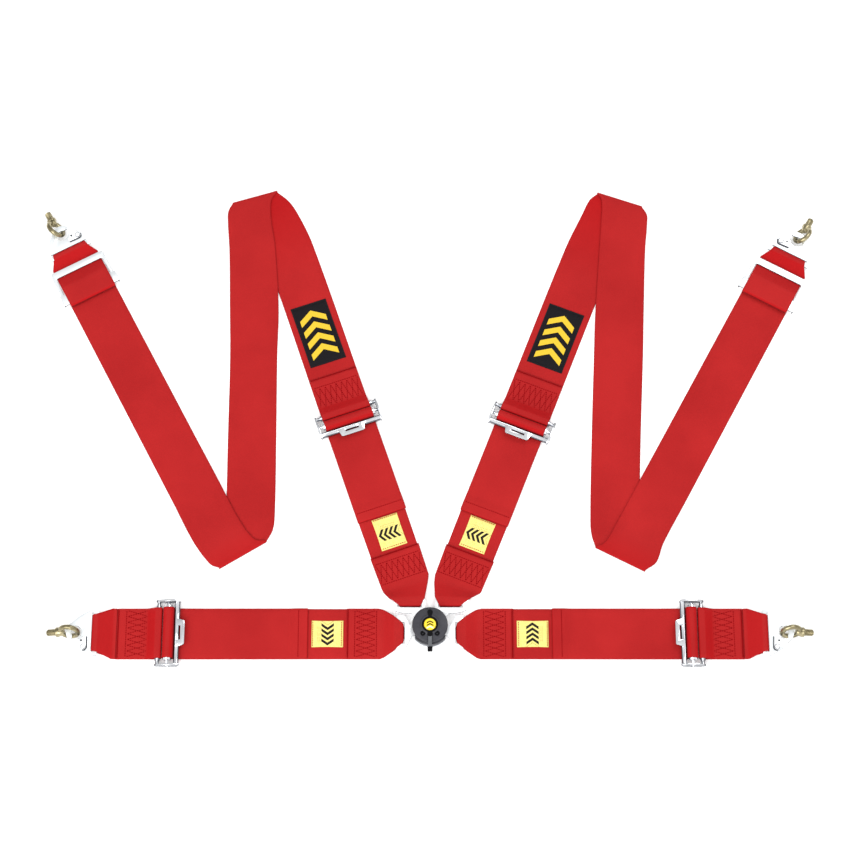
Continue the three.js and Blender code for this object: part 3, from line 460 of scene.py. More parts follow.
# Near-black steel: the colour of the latch's stop pin, and also painted shadow, as the strip under the
# latch's edge and the slide bars' side faces.
SHADOW_AND_DARK_STEEL = metal_material("painted_shadow_and_dark_steel", (58, 60, 66), (30, 32, 36), (0.3, 0.5), 0.00004)
BLACK_PLASTIC = plastic_material("black_plastic", (14, 14, 17), (8, 8, 10), (0.5, 0.6), 0.08)
BADGE = plastic_material("yellow_badge", (244, 214, 44), (230, 196, 30), (0.3, 0.4))
PALE_MARK = plastic_material("pale_mark", (246, 240, 214), (228, 220, 190), (0.3, 0.4))
BLACK_CLOTH = cloth_material("black_cloth", (19, 17, 22), (9, 8, 11))
YELLOW_THREAD = thread_material("yellow_thread", (226, 196, 66), (198, 160, 40))
LABEL_CLOTH = cloth_material(
    "label_cloth", (244, 230, 142), (206, 182, 84), label_mark, (30, 28, 24)
)
BLACK_THREAD = thread_material("black_thread", (48, 46, 52), (26, 24, 28))
SEAM_THREAD = thread_material("seam_thread", (178, 70, 30), (126, 34, 20))


# -------- strap frames, as in the CAD model
class Strap:
    def __init__(self, foot, degrees):
        self.foot = Vector(foot)
        self.angle = math.radians(degrees)

    def at(self, s, v, z=0.0):
        c, n = math.cos(self.angle), math.sin(self.angle)
        return Vector((self.foot.x + s * c - v * n, self.foot.y + s * n + v * c, z))

    def matrix(self, s=0.0):
        return Matrix.Translation(self.at(s, 0)) @ Matrix.Rotation(self.angle, 4, "Z")


def strap_of(name):
    if name.startswith("lap"):
        return Strap((0, LAP_Y), 180 if name.endswith("left") else 0)
    facts = STRAPS[name]
    tilt = math.radians(facts["tilt"])
    side, offset = facts["side"], facts["offset"]
    foot = (side * offset * math.cos(tilt), -offset * math.sin(tilt))
    return Strap(foot, 90 - side * facts["tilt"])


def rise_of(name):
    facts = STRAPS[name]
    foot = (facts["side"] * facts["rise_foot"][0], facts["rise_foot"][1])
    return Strap(foot, 90 - facts["side"] * facts["rise_tilt"])


def rounded_path(corners, turn_step=0.2):
    """Corners are (s, z, radius); each inner corner becomes an arc."""
    path = [Vector(corners[0][:2])]
    for before, here, after in zip(corners, corners[1:], corners[2:]):
        corner, radius = Vector(here[:2]), here[2]
        back = (Vector(before[:2]) - corner).normalized()
        ahead = (Vector(after[:2]) - corner).normalized()
        turn = math.pi - back.angle(ahead)
        reach = radius * math.tan(turn / 2)
        centre = corner + (back + ahead).normalized() * radius / math.cos(turn / 2)
        first = corner + back * reach - centre
        sign = 1 if back.x * ahead.y - back.y * ahead.x > 0 else -1
        steps = max(1, math.ceil(turn / turn_step))
        for k in range(steps + 1):
            spoke = first.copy()
            spoke.rotate(Matrix.Rotation(-sign * turn * k / steps, 2))
            path.append(centre + spoke)
    path.append(Vector(corners[-1][:2]))
    return path


def smooth_step(a, b, slope_a, slope_b, t):
    """A smooth curve from a to b that leaves and arrives with the given slopes."""
    t2, t3 = t * t, t * t * t
    return (
        a * (2 * t3 - 3 * t2 + 1) + slope_a * (t3 - 2 * t2 + t)
        + b * (-2 * t3 + 3 * t2) + slope_b * (t3 - t2)
    )


def edges_at(lines, s):
    """The two edges of the webbing at s, on smooth curves through the given lines."""
    i = 0
    while i < len(lines) - 2 and s > lines[i + 1][0]:
        i += 1
    s0, s1 = lines[i][0], lines[i + 1][0]
    t = (s - s0) / (s1 - s0)

    def slope(k, side):
        low, high = max(k - 1, 0), min(k + 1, len(lines) - 1)
        return (lines[high][side] - lines[low][side]) / (lines[high][0] - lines[low][0])

    found = []
    for side in (1, 2):
        a, b = lines[i][side], lines[i + 1][side]
        if t <= 0 or t >= 1 or i in (0, len(lines) - 2):
            found.append(a.lerp(b, t))
            continue
        span = s1 - s0
        found.append(smooth_step(a, b, slope(i, side) * span, slope(i + 1, side) * span, t))
    return found


def line_at(strap, s, half=HALF):
    """A line across the webbing, as its place along the strap and its two ends."""
    return (s, strap.at(s, half), strap.at(s, -half))


def line_ends(side, row, z=0.0):
    """The left and right ends of a line given as (outer x, outer y, inner x, inner y)."""
    outer, inner = Vector((side * row[0], row[1], z)), Vector((side * row[2], row[3], z))
    return (outer, inner) if side < 0 else (inner, outer)


class Station:
    """One line across the webbing; shade is how much painted shade it gets there, from 0."""

    def __init__(self, left, right, normal, shade=0.0):
        self.left, self.right, self.normal, self.shade = left, right, normal, shade

    def middle(self):
        return (self.left + self.right) / 2


def stations_along(path, lines):
    """Stations of a ribbon that follows a path in s and z over a plan."""
    made = []
    for i, point in enumerate(path):
        before, after = path[max(i - 1, 0)], path[min(i + 1, len(path) - 1)]
        tangent = (after - before).normalized()
        left, right = edges_at(lines, point.x)
        left_on, right_on = edges_at(lines, point.x + 1)
        ahead = ((left_on + right_on) - (left + right)).normalized()
        left, right = left.copy(), right.copy()
        left.z = right.z = point.y
        normal = Vector((-tangent.y * ahead.x, -tangent.y * ahead.y, tangent.x))
        made.append(Station(left, right, normal))
    return made


def dense(stations, step=6.0):
    """The same ribbon with stations no further apart than step."""
    made = [stations[0]]
    for a, b in zip(stations, stations[1:]):
        length = (b.middle() - a.middle()).length
        count = max(1, math.ceil(length / step))
        for k in range(1, count + 1):
            t = k / count
            normal = a.normal.lerp(b.normal, t)
            shade = lerp(a.shade, b.shade, t)
            made.append(Station(a.left.lerp(b.left, t), a.right.lerp(b.right, t), normal, shade))
    return made


def eased(stations, step=6.0):
    """The same ribbon, with both its edges on smooth curves through its stations."""
    runs = [0.0]
    for a, b in zip(stations, stations[1:]):
        runs.append(runs[-1] + max(0.01, (b.middle() - a.middle()).length))
    edges = [[s.left for s in stations], [s.right for s in stations]]

    def slope(edge, k):
        low, high = max(k - 1, 0), min(k + 1, len(stations) - 1)
        return (edge[high] - edge[low]) / (runs[high] - runs[low])

    made = [stations[0]]
    for i, (a, b) in enumerate(zip(stations, stations[1:])):
        span = runs[i + 1] - runs[i]
        count = max(1, math.ceil(span / step))
        for k in range(1, count + 1):
            t = k / count
            left, right = [
                smooth_step(edge[i], edge[i + 1], slope(edge, i) * span, slope(edge, i + 1) * span, t)
                for edge in edges
            ]
            made.append(Station(left, right, a.normal.lerp(b.normal, t)))
    return made


def shaded(stations, most, reach):
    """Shades a run of webbing from its first station on, where another layer lies close."""
    run = 0.0
    for before, here in zip([stations[0], *stations], stations):
        run += (here.middle() - before.middle()).length
        here.shade = max(0.0, most * (1 - run / reach))
    return stations


def ribbon_length(stations):
    return sum((b.middle() - a.middle()).length for a, b in zip(stations, stations[1:]))


EDGE_PROFILE = ((0.0, 0.0), (0.22, 0.62), (0.8, 1.0))
INNER_COLUMNS = 11


def ribbon_mesh(name, stations, half_thick=THICK / 2 - 0.03, full=WIDTH):
    """A closed strip of cloth with rounded edges; its UV map is in metres along and across.

    Where the strip is gathered, its weave is gathered too: across always runs over the full width.
    """
    columns = len(EDGE_PROFILE) * 2 + INNER_COLUMNS
    points, places, painted_shade_amounts = [], [], []
    run = 0.0
    previous = None
    for station in stations:
        middle = station.middle()
        if previous is not None:
            run += (middle - previous).length
        previous = middle
        width = (station.left - station.right).length
        inset = EDGE_PROFILE[-1][0]
        offsets = list(EDGE_PROFILE)
        for k in range(1, INNER_COLUMNS + 1):
            offsets.append((lerp(inset, width - inset, k / (INNER_COLUMNS + 1)), 1.0))
        offsets += [(width - d, h) for d, h in reversed(EDGE_PROFILE)]
        normal = station.normal.normalized()
        for sign, picked in ((1, offsets), (-1, offsets[-2:0:-1])):
            for distance, height in picked:
                point = station.left.lerp(station.right, distance / width)
                points.append(point + normal * (sign * height * half_thick))
                places.append((run * MM, (0.5 - distance / width) * full * MM))
                # painted shade: more where the webbing leans away from level, or as much as its station's
                # shade
                painted_shade_amounts.append(max(1 - abs(normal.z), station.shade))
    mesh = mesh_of(name, points, tube_faces(len(stations), 2 * columns - 2))
    layer = mesh.uv_layers.new(name="webbing")
    for loop in mesh.loops:
        layer.data[loop.index].uv = places[loop.vertex_index]
    # The slope attribute carries the painted shade to the webbing's material.
    slope = mesh.attributes.new("slope", "FLOAT", "POINT")
    slope.data.foreach_set("value", painted_shade_amounts)
    return mesh


def nose_shaded(stations):
    """Shades the turn round the tongue's bar, which lies down in the tongue's slot."""
    for station in stations:
        lean = 1 - abs(station.normal.normalized().z)
        if station.middle().xy.length < BAR_S:
            station.shade = min(1.0, 4 * lean)
    return stations


# -------- webbing
def lap_lines(strap):
    """The webbing is gathered to a round nose in the tongue's slot, and widens from there."""
    halves = [(-8, 7.5), (-6.6, 8.8), (-5, 14.2), (-1.2, 18.6), (6, 23.8), (11.5, 28.6), (20, 34.2)]
    lines = [line_at(strap, BAR_S + s, half) for s, half in halves]
    return [*lines, line_at(strap, BAR_S + 31), line_at(strap, 120), line_at(strap, 500)]


def shoulder_lines(name, strap):
    side = STRAPS[name]["side"]

    def line(s, inner, outer):
        return (s, *line_ends(side, (*outer, *inner)))

    return [
        line(BAR_S - 9, (16, 27.5), (41, 27.5)),
        line(BAR_S - 4, (13, 32.5), (47, 32.5)),
        line(BAR_S, (10.5, 37), (52, 36)),
        line(BAR_S + 6, (8, 43), (58.5, 41.5)),
        line(BAR_S + 14, (6, 54), (65, 47)),
        line_at(strap, BAR_S + 31, 36.6),
        line_at(strap, BAR_S + 44, 37.6),
        line_at(strap, 120),
        line_at(strap, 600),
    ]


def inner_path(tack, hem, grip):
    """The adjustable webbing, from the sewn end round the tongue bar and the grip bar to its hem."""
    nose = BAR_S - 4 - BAR_WRAP
    wrap = GRIP_R + CLEAR + FLOOR_LAYER
    return rounded_path([
        (tack, SEWN_LAYER),
        (BAR_S + 26, SEWN_LAYER, 30),
        (BAR_S + 7, BAR_Z + BAR_WRAP, 10),
        (nose, BAR_Z + BAR_WRAP, BAR_WRAP),
        (nose, BAR_Z - BAR_WRAP, BAR_WRAP),
        (BAR_S + 8, BAR_Z - BAR_WRAP, 10),
        (BAR_S + 26, FLOOR_LAYER, 30),
        (grip - 32, FLOOR_LAYER, 60),
        (grip - 4, GRIP_Z - wrap, 10),
        (grip + wrap, GRIP_Z - wrap, wrap),
        (grip + wrap, GRIP_Z + wrap, wrap),
        (grip - wrap, GRIP_Z + wrap, wrap),
        (grip - wrap - 2, UPPER_LAYER + 0.8, 2.2),
        (grip - 50, UPPER_LAYER, 60),
        (hem + 26, UPPER_LAYER, 20),
        (hem + 17, UPPER_LAYER + 2 * HEM_FOLD, 12),
        (hem, UPPER_LAYER + 2 * HEM_FOLD, HEM_FOLD),
        (hem, UPPER_LAYER, HEM_FOLD),
        (hem + 14.5, UPPER_LAYER),
    ])


def fixed_bar_corners(fixed):
    """The way down round the adjuster's fixed bar, from the sewn end to the floor."""
    return [
        (fixed + 17, SEWN_LAYER, 12),
        (fixed + 4, FIXED_Z + FIXED_WRAP, 6),
        (fixed - FIXED_WRAP, FIXED_Z + FIXED_WRAP, 2.4),
        (fixed - FIXED_WRAP, FIXED_Z - FIXED_WRAP, FIXED_WRAP),
        (fixed + 12, FLOOR_LAYER, 20),
    ]


def hook_corners(hook):
    """The way up round the hook's bar, from the floor to the upper layer."""
    top, bottom = HOOK_Z + HOOK_WRAP, HOOK_Z - HOOK_WRAP
    return [
        (hook + HOOK_WRAP, bottom, HOOK_WRAP - 0.6),
        (hook + HOOK_WRAP, top, HOOK_WRAP),
        (hook - 3, top, 6),
    ]


def hook_lines(strap, start, hook):
    """The webbing draws in toward the hook's slot."""
    return [
        line_at(strap, start),
        line_at(strap, hook - 24),
        line_at(strap, hook - 12, 37.2),
        line_at(strap, hook - 4, 29),
        line_at(strap, hook + 7, 26.3),
    ]


def outer_path(fixed, hook):
    tack = fixed + LAP["far_tack"]
    return rounded_path([
        (tack, SEWN_LAYER),
        *fixed_bar_corners(fixed),
        (hook - 32, FLOOR_LAYER, 30),
        *hook_corners(hook),
        (hook - 26, SEWN_LAYER, 12),
        (tack + 1.2, SEWN_LAYER),
    ])


def fold_stations(crease, side, beyond, opening):
    """A half turn about a crease line; beyond is the way it bulges, opening turns its normals."""
    left, right = line_ends(side, crease)
    radius = 1.5
    made = []
    steps = 8
    for i in range(steps + 1):
        angle = -math.pi / 2 + math.pi * i / steps
        shift = Vector((0, beyond * radius * math.cos(angle), FLOOR_LAYER + radius * (1 + math.sin(angle))))
        normal = Vector((0, beyond * math.cos(angle), math.sin(angle))) * opening
        made.append(Station(left + shift, right + shift, normal))
    return made


def main_stations(name, strap, rise):
    """The long webbing: adjuster, top fold, vertical run, bottom fold, slide and hook."""
    facts, runs = STRAPS[name], FOLDED_RUNS[name]
    side, hook = facts["side"], facts["hook"]
    fixed = SHOULDER["grip"] + GRIP_TO_FIXED

    def flat(row, up):
        return Station(*line_ends(side, row, row[4]), Vector((0, 0, up)))

    start = rounded_path([
        (fixed + SHOULDER["far_tack"], SEWN_LAYER),
        *fixed_bar_corners(fixed),
        (640, FLOOR_LAYER),
    ])
    wrap_z = (SLIDE_BAR_TOP + CLEAR + FLOOR_LAYER + UPPER_LAYER) / 2
    wrap_r = wrap_z - UPPER_LAYER
    wrap_at = hook - 81.3
    rising = rounded_path([
        (280, UPPER_LAYER + 0.4),
        (350, UPPER_LAYER, 200),
        (425, FLOOR_LAYER, 200),
        (hook - 26, FLOOR_LAYER, 30),
        *hook_corners(hook),
        (hook - 18.5, UPPER_LAYER, 6),
        (hook - 32, UPPER_LAYER, 10),
        (hook - 52, wrap_z + wrap_r, 12),
        (wrap_at - wrap_r, wrap_z + wrap_r, wrap_r),
        (wrap_at - wrap_r, UPPER_LAYER, wrap_r),
        (hook - 47, UPPER_LAYER),
    ])
    climb = stations_along(start, [line_at(strap, fixed - 20), line_at(strap, 640)])
    rise_part = stations_along(rising, hook_lines(rise, 260, hook))
    top = fold_stations(runs["top"], side, 1, -1)
    bottom = fold_stations(runs["bottom"], side, -1, 1)
    before_top = eased([*climb[-2:], *[flat(row, 1) for row in runs["before_top"]], top[0]])
    vertical = eased([top[-1], *[flat(row, -1) for row in runs["vertical"]], bottom[0]])
    after = [flat(row, 1) for row in runs["after_bottom"]]
    after_bottom = eased([bottom[-1], *after, *rise_part[:2]])
    # painted shade on the runs beside each fold, where the other layer lies close
    shaded(before_top[::-1], 0.13, 160)
    shaded(after_bottom, 0.09, 45)
    return [
        *climb[:-2], *before_top[:-1], *top[:-1], *vertical[:-1], *bottom[:-1],
        *after_bottom, *rise_part[2:],
    ]


def add_webbing(name, stations, body, node):
    stations = dense(stations)
    obj = piece(ribbon_mesh(name, stations), RED, body, node)
    ribbon_length(stations) * MM


# -------- stitching
STITCH = {"length": 2.9, "pitch": 3.4, "radius": 0.66, "sides": 6, "lift": 0.08, "dip": 0.3}
ZIGZAG = {"count": 8, "inset": 3.5, "clear": 2}
TACK_ZIGZAG = {"count": 52, "inset": 2.0, "span": (2.4, 0.2)}


def stitch_run(runs, strap, start, end, top):
    """Stitches from one place to another on the webbing, each a small rounded thread."""
    start, end = Vector(start), Vector(end)
    total = (end - start).length
    count = max(1, round(total / STITCH["pitch"]))
    for k in range(count):
        centre = start.lerp(end, (k + 0.5) / count)
        direction = (end - start).normalized()
        aside = Vector((-direction.y, direction.x))
        half = min(STITCH["length"], total / count * 0.8) / 2
        rings = []
        for along, swell in ((-1.0, 0.25), (-0.6, 0.9), (0.6, 0.9), (1.0, 0.25)):
            ring = []
            for j in range(STITCH["sides"]):
                angle = 2 * math.pi * j / STITCH["sides"]
                r = STITCH["radius"] * swell
                spot = centre + direction * (half * along) + aside * (r * math.cos(angle))
                lift = top + r * math.sin(angle) + STITCH["lift"] - STITCH["dip"] * abs(along) ** 3
                ring.append(strap.at(spot.x, spot.y, lift))
            rings.append(ring)
        runs.append(rings)


def add_stitching(name, runs, material, body):
    """All the stitches of one seam as one piece."""
    points, faces = [], []
    for rings in runs:
        faces += tube_faces(len(rings), STITCH["sides"], len(points))
        points += [point for ring in rings for point in ring]
    piece(face_out(mesh_of(name, points, faces)), material, body)


def box_stitching(name, strap, body, sewn, tack):
    """Two straight rows, crossing zigzags between them, and a close zigzag over the cut end."""
    runs = []
    first, second = sewn
    half = HALF - ZIGZAG["inset"]

    def zigzag(near, far, reach, count, flip):
        for k in range(count):
            ends = (near, far) if (k + flip) % 2 else (far, near)
            places = [(end, lerp(-reach, reach, (k + i) / count)) for i, end in enumerate(ends)]
            stitch_run(runs, strap, *places, SEWN_TOP)

    for s in sewn:
        stitch_run(runs, strap, (s, -half), (s, half), SEWN_TOP)
    for flip in (0, 1):
        zigzag(first + ZIGZAG["clear"], second - ZIGZAG["clear"], half, ZIGZAG["count"], flip)
    near, far = [tack - back for back in TACK_ZIGZAG["span"]]
    zigzag(near, far, HALF - TACK_ZIGZAG["inset"], TACK_ZIGZAG["count"], 0)
    add_stitching(name, runs, THREAD, body)


def hem_stitching(name, strap, body, s, inset=2.5):
    runs = []
    stitch_run(runs, strap, (s, -HALF + inset), (s, HALF - inset), HEM_TOP)
    add_stitching(name, runs, THREAD, body)


# -------- labels and patches
def flat_cloth(name, strap, body, node, material, span, half, middle, bow):
    """A flat woven piece on one layer of webbing; bow draws its long edges in a little."""
    stations = []
    steps = 12
    for k in range(steps + 1):
        t = k / steps
        s = lerp(span[0], span[1], t)
        reach = half - bow * math.sin(math.pi * t)
        left, right = [strap.at(s, middle + side * reach, CLOTH["z"]) for side in (1, -1)]
        stations.append(Station(left, right, Vector((0, 0, 1))))
    mesh = ribbon_mesh(name, stations, CLOTH["half_thick"], 2 * half)
    obj = piece(mesh, material, body, node)


def add_label(name, strap, body, span):
    middle = -STRAPS[name]["label_shift"] if name in STRAPS else 0.0
    flat_cloth(
        f"{name}_label", strap, body, f"label_{name}", LABEL_CLOTH,
        span, LABEL_HALF, middle, 0.5,
    )
    reach = LABEL_HALF - 1.5
    runs = []
    for s in (span[0] + 2.6, span[1] - 1.6):
        stitch_run(runs, strap, (s, middle - reach), (s, middle + reach), LABEL_SEAM_Z)
    add_stitching(f"{name}_label_seam", runs, SEAM_THREAD, body)


def chevron(tip, half_width, band, drop):
    """The outline of one chevron that points along s, its arms falling back by drop."""
    return [
        (tip, 0), (tip - drop, half_width), (tip - drop - band, half_width),
        (tip - band, 0), (tip - drop - band, -half_width), (tip - drop, -half_width),
    ]


def add_patch(name, strap, body):
    span = SHOULDER["patch"]
    flat_cloth(
        f"{name}_patch", strap, body, f"patch_{name}", BLACK_CLOTH,
        span, PATCH_HALF, 0.0, 0.2,
    )
    half, band, drop = PATCH_MARK["half"], PATCH_MARK["band"], PATCH_MARK["drop"]
    for k in range(4):
        outline = chevron(span[0] + PATCH_MARK["first"] + PATCH_MARK["step"] * k, half, band, drop)
        mark = plate(f"{name}_patch_chevron_{k + 1}", outline, 2.2, 2.9, strap.matrix(), 0.3)
        piece(mark, YELLOW_THREAD, body)
    inset = 1.6
    side = PATCH_HALF - inset
    first, last = span[0] + inset, span[1] - inset
    runs = []
    for v in (-side, side):
        stitch_run(runs, strap, (first, v), (last, v), PATCH_SEAM_Z)
    for s in (first, last):
        stitch_run(runs, strap, (s, -side), (s, side), PATCH_SEAM_Z)
    add_stitching(f"{name}_patch_seam", runs, BLACK_THREAD, body)


# -------- metal and plastic pieces
def round_edges(mesh, width, segments=2, sharp_from=28.0, smooth_to=50.0):
    """Rounds every edge that turns by more than sharp_from."""
    bm = bmesh.new()
    bm.from_mesh(mesh)
    bmesh.ops.remove_doubles(bm, verts=bm.verts, dist=2e-6)
    bmesh.ops.dissolve_limit(bm, angle_limit=math.radians(0.6), verts=bm.verts, edges=bm.edges)
    least = math.radians(sharp_from)
    sharp = [e for e in bm.edges if e.is_manifold and e.calc_face_angle(0) > least]
    bmesh.ops.bevel(
        bm, geom=sharp, offset=width * MM, segments=segments, profile=0.5,
        affect="EDGES", clamp_overlap=True,
    )
    bmesh.ops.recalc_face_normals(bm, faces=bm.faces)
    bm.to_mesh(mesh)
    bm.free()
    for polygon in mesh.polygons:
        polygon.use_smooth = True
    mesh.set_sharp_from_angle(angle=math.radians(smooth_to))


def refined(node, material, width=0.35, cut=None):
    """A CAD piece with its edges rounded, standing for the plain one.

    cut is the material of its side faces, all round: a darker copy that paints shade on them.
    """
    source = nodes[node]
    mesh = source.data.copy()
    mesh.name = node + "_finished"
    round_edges(mesh, width)
    piece(mesh, material, source["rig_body"], node)
    if cut is not None:
        mesh.materials.append(cut)
        for polygon in mesh.polygons:
            # side faces take the darker material: painted shade
            polygon.material_index = 1 if abs(polygon.normal.z) < 0.9 else 0


def on_circle(radius, degrees):
    angle = math.radians(degrees)
    return (radius * math.cos(angle), radius * math.sin(angle))


def ring_of(radius, steps=48, x=0.0, y=0.0):
    """The corners of a round outline."""
    spokes = [2 * math.pi * k / steps for k in range(steps)]
    return [(x + radius * math.cos(a), y + radius * math.sin(a)) for a in spokes]


def plate(name, outline, bottom, top, place, bevel, holes=()):
    """A flat plate with rounded edges; holes are outlines inside the first one."""
    loops = [list(outline), *[list(hole) for hole in holes]]
    corners = [corner for loop in loops for corner in loop]
    caps = tessellate_polygon([[Vector((x, y, 0)) for x, y in loop] for loop in loops])
    count = len(corners)
    points = [place @ Vector((x, y, top)) for x, y in corners]
    points += [place @ Vector((x, y, bottom)) for x, y in corners]
    faces = [tuple(cap) for cap in caps]
    faces += [tuple(count + i for i in reversed(cap)) for cap in caps]
    start = 0
    for loop in loops:
        for k in range(len(loop)):
            a, b = start + k, start + (k + 1) % len(loop)
            faces.append((a, b, count + b, count + a))
        start += len(loop)
    mesh = mesh_of(name, points, faces)
    round_edges(mesh, bevel)
    return mesh


def shank_rings():
    """The boss and collar, and a shank with a real thread that fades in and out."""
    first, last = BOLT["collar"]
    wide, bare, pitch = BOLT["collar_radius"], BOLT["thread_radius"], BOLT["pitch"]
    sides = 28
    rings = []

    def ring(x, radius_at):
        radii = [radius_at(k / sides) for k in range(sides)]
        turns = [2 * math.pi * (k / sides) for k in range(sides)]
        rings.append([(x, r * math.cos(a), r * math.sin(a)) for r, a in zip(radii, turns)])

    for x, radius in (
        (BOLT["boss_from"], 3.6), (first - 5.5, 5.6), (first - 2.2, 6.3), (first - 0.4, 6.5),
        (first, wide - 0.5), (first + 0.5, wide), (last - 0.5, wide), (last, wide - 0.5),
        (last + 0.05, bare - BOLT["groove"]),
    ):
        ring(x, lambda _: radius)
    x = last + 0.6

    def threaded(turn):
        phase = (x / pitch - turn) % 1.0
        return bare - BOLT["groove"] * max(0.0, 1 - abs(phase - 0.5) / 0.36)

    while x < BOLT["tip"] - 1.2:
        ring(x, threaded)
        x += pitch / 7
    ring(BOLT["tip"] - 1.0, lambda _: bare - 0.8)
    ring(BOLT["tip"], lambda _: bare - 1.5)
    return rings


def hole_place(strap, hook, along=0.0, aside=0.0):
    """A level frame in the hole of a tilted hook."""
    tilt = math.radians(HOOK_TILT)
    reach = HOOK_TO_HOLE + along
    shift = Matrix.Translation((reach * math.cos(tilt), aside, HOOK_Z + reach * math.sin(tilt)))
    return strap.matrix(hook) @ shift


def add_eye_bolt(name, strap, hook):
    """The ring is a little oval in section; the boss flows from it into the collar."""
    latch = LATCH_SIDE[name]
    lies = LAP_BOLT if name.startswith("lap") else SHOULDER_BOLT
    contact = math.radians(lies["contact"])
    place = hole_place(strap, hook, lies["along"], latch * lies["aside"])
    place = place @ Matrix.Rotation(math.radians(lies["slope"]), 4, "Y")
    place = place @ Matrix.Rotation(-latch * math.radians(lies["lean"]), 4, "X")
    place = place @ Matrix.Translation((
        -BOLT["ring"] * (1 - math.cos(contact)), -latch * BOLT["ring"] * math.sin(contact), 0,
    ))
    points = []
    around, through = 56, 16
    for i in range(around):
        turn = 2 * math.pi * i / around
        for j in range(through):
            swing = 2 * math.pi * j / through
            wide = BOLT["wire"] * (1.0 if math.cos(swing) < 0 else 0.96)
            reach = BOLT["ring"] + wide * math.cos(swing)
            spot = (
                BOLT["ring"] + reach * math.cos(turn), reach * math.sin(turn),
                BOLT["wire"] * 0.97 * math.sin(swing),
            )
            points.append(place @ Vector(spot))
    faces = tube_faces(around, through, closed=True)
    rings = shank_rings()
    faces += tube_faces(len(rings), len(rings[0]), len(points))
    points += [place @ Vector(point) for ring in rings for point in ring]
    mesh = face_out(mesh_of(f"{name}_eye_bolt", points, faces))
    mesh.set_sharp_from_angle(angle=math.radians(50))
    piece(mesh, GOLD, f"eye_bolt_{name}", f"eye_bolt_{name}")


def add_latch_details(name, strap, hook):
    """A dark strip along the latch's edge as painted shadow under it, its small stop pin, and a dark rim
    round its rivet as painted shade.
    """
    latch = LATCH_SIDE[name]
    place = hole_place(strap, hook) @ Matrix.Rotation(-math.radians(HOOK_TILT), 4, "Y")
    x, y = LATCH["rivet"]
    rim_hole = [ring_of(3.45, 28, x, y)]
    turns = range(190, 70, -12)
    outline = [(x - 5.2, 6.5)]
    outline += [(x + a, y + b) for a, b in (on_circle(5.9, turn) for turn in turns)]
    outline += [(x + a, y + b) for a, b in (on_circle(4.7, turn) for turn in reversed(turns))]
    outline += [(x - 4.0, 6.5)]
    low, high = LATCH["low"], LATCH["high"]
    for label, shape, bottom, top, hole, paint in (
        # the strip is painted shadow under the latch's edge; the rivet rim is painted shade
        ("shadow_strip", outline, low, high - 0.2, (), SHADOW_AND_DARK_STEEL),
        ("stop", ring_of(1.35, 20, -6.4, 12.4), high - 0.3, high + 0.35, (), SHADOW_AND_DARK_STEEL),
        ("rivet_rim", ring_of(4.0, 28, x, y), high - 0.2, high + 0.35, rim_hole, SHADED_CHROME),
    ):
        shape = [(a, latch * b) for a, b in shape]
        hole = [[(a, latch * b) for a, b in ring] for ring in hole]
        made = plate(f"{name}_latch_{label}", shape, bottom, top, place, 0.12, hole)
        piece(made, paint, f"latch_{name}")


KNOB_FACE = 22.0
KNOB_RING = 23.6
BADGE_TOP = 23.5
LOWER_SCREWS = ((-10.5, -13.5), (10.5, -13.5))


def keyhole_outline():
    """A ring round the badge, with a neck up to the top screw and one down to the lever."""
    outline = []
    for low, high, centre_y, radius in (
        (-74, 78, 0.0, 11.6), (-50, 230, 18.0, 3.7), (102, 254, 0.0, 11.6), (200, 340, -13.9, 4.2),
    ):
        steps = 14
        for k in range(steps + 1):
            x, y = on_circle(radius, lerp(low, high, k / steps))
            outline.append((x, y + centre_y))
    return outline


def add_knob_details():
    at = Matrix.Identity(4)
    keyhole = plate(
        "knob_keyhole", keyhole_outline(), KNOB_FACE - 0.6, KNOB_RING + 0.25, at, 0.25,
        [ring_of(9.3)],
    )
    piece(keyhole, BLACK_PLASTIC, "knob")
    for k, (x, y) in enumerate(LOWER_SCREWS):
        rim = plate(
            f"knob_screw_rim_{k + 2}", ring_of(3.5, 28, x, y), KNOB_FACE - 0.8, KNOB_FACE + 0.9,
            at, 0.2, [ring_of(2.62, 20, x, y)],
        )
        piece(rim, BLACK_PLASTIC, "knob")
    for k, (tip, paint) in enumerate(((5.4, BLACK_PLASTIC), (1.4, BLACK_PLASTIC), (-2.4, PALE_MARK))):
        outline = [(-v, s) for s, v in chevron(tip, 4.9, 1.7, 2.6)]
        mark = plate(f"badge_chevron_{k + 1}", outline, BADGE_TOP - 0.3, BADGE_TOP + 0.22, at, 0.08)
        piece(mark, paint, "knob")
    tip = plate(
        "lever_tip", [(-3.35, -33.8), (3.35, -33.8), (3.0, -39.8), (-3.0, -39.8)], 20.0, 24.7, at, 0.5
    )
    piece(tip, BLACK_PLASTIC, "knob")


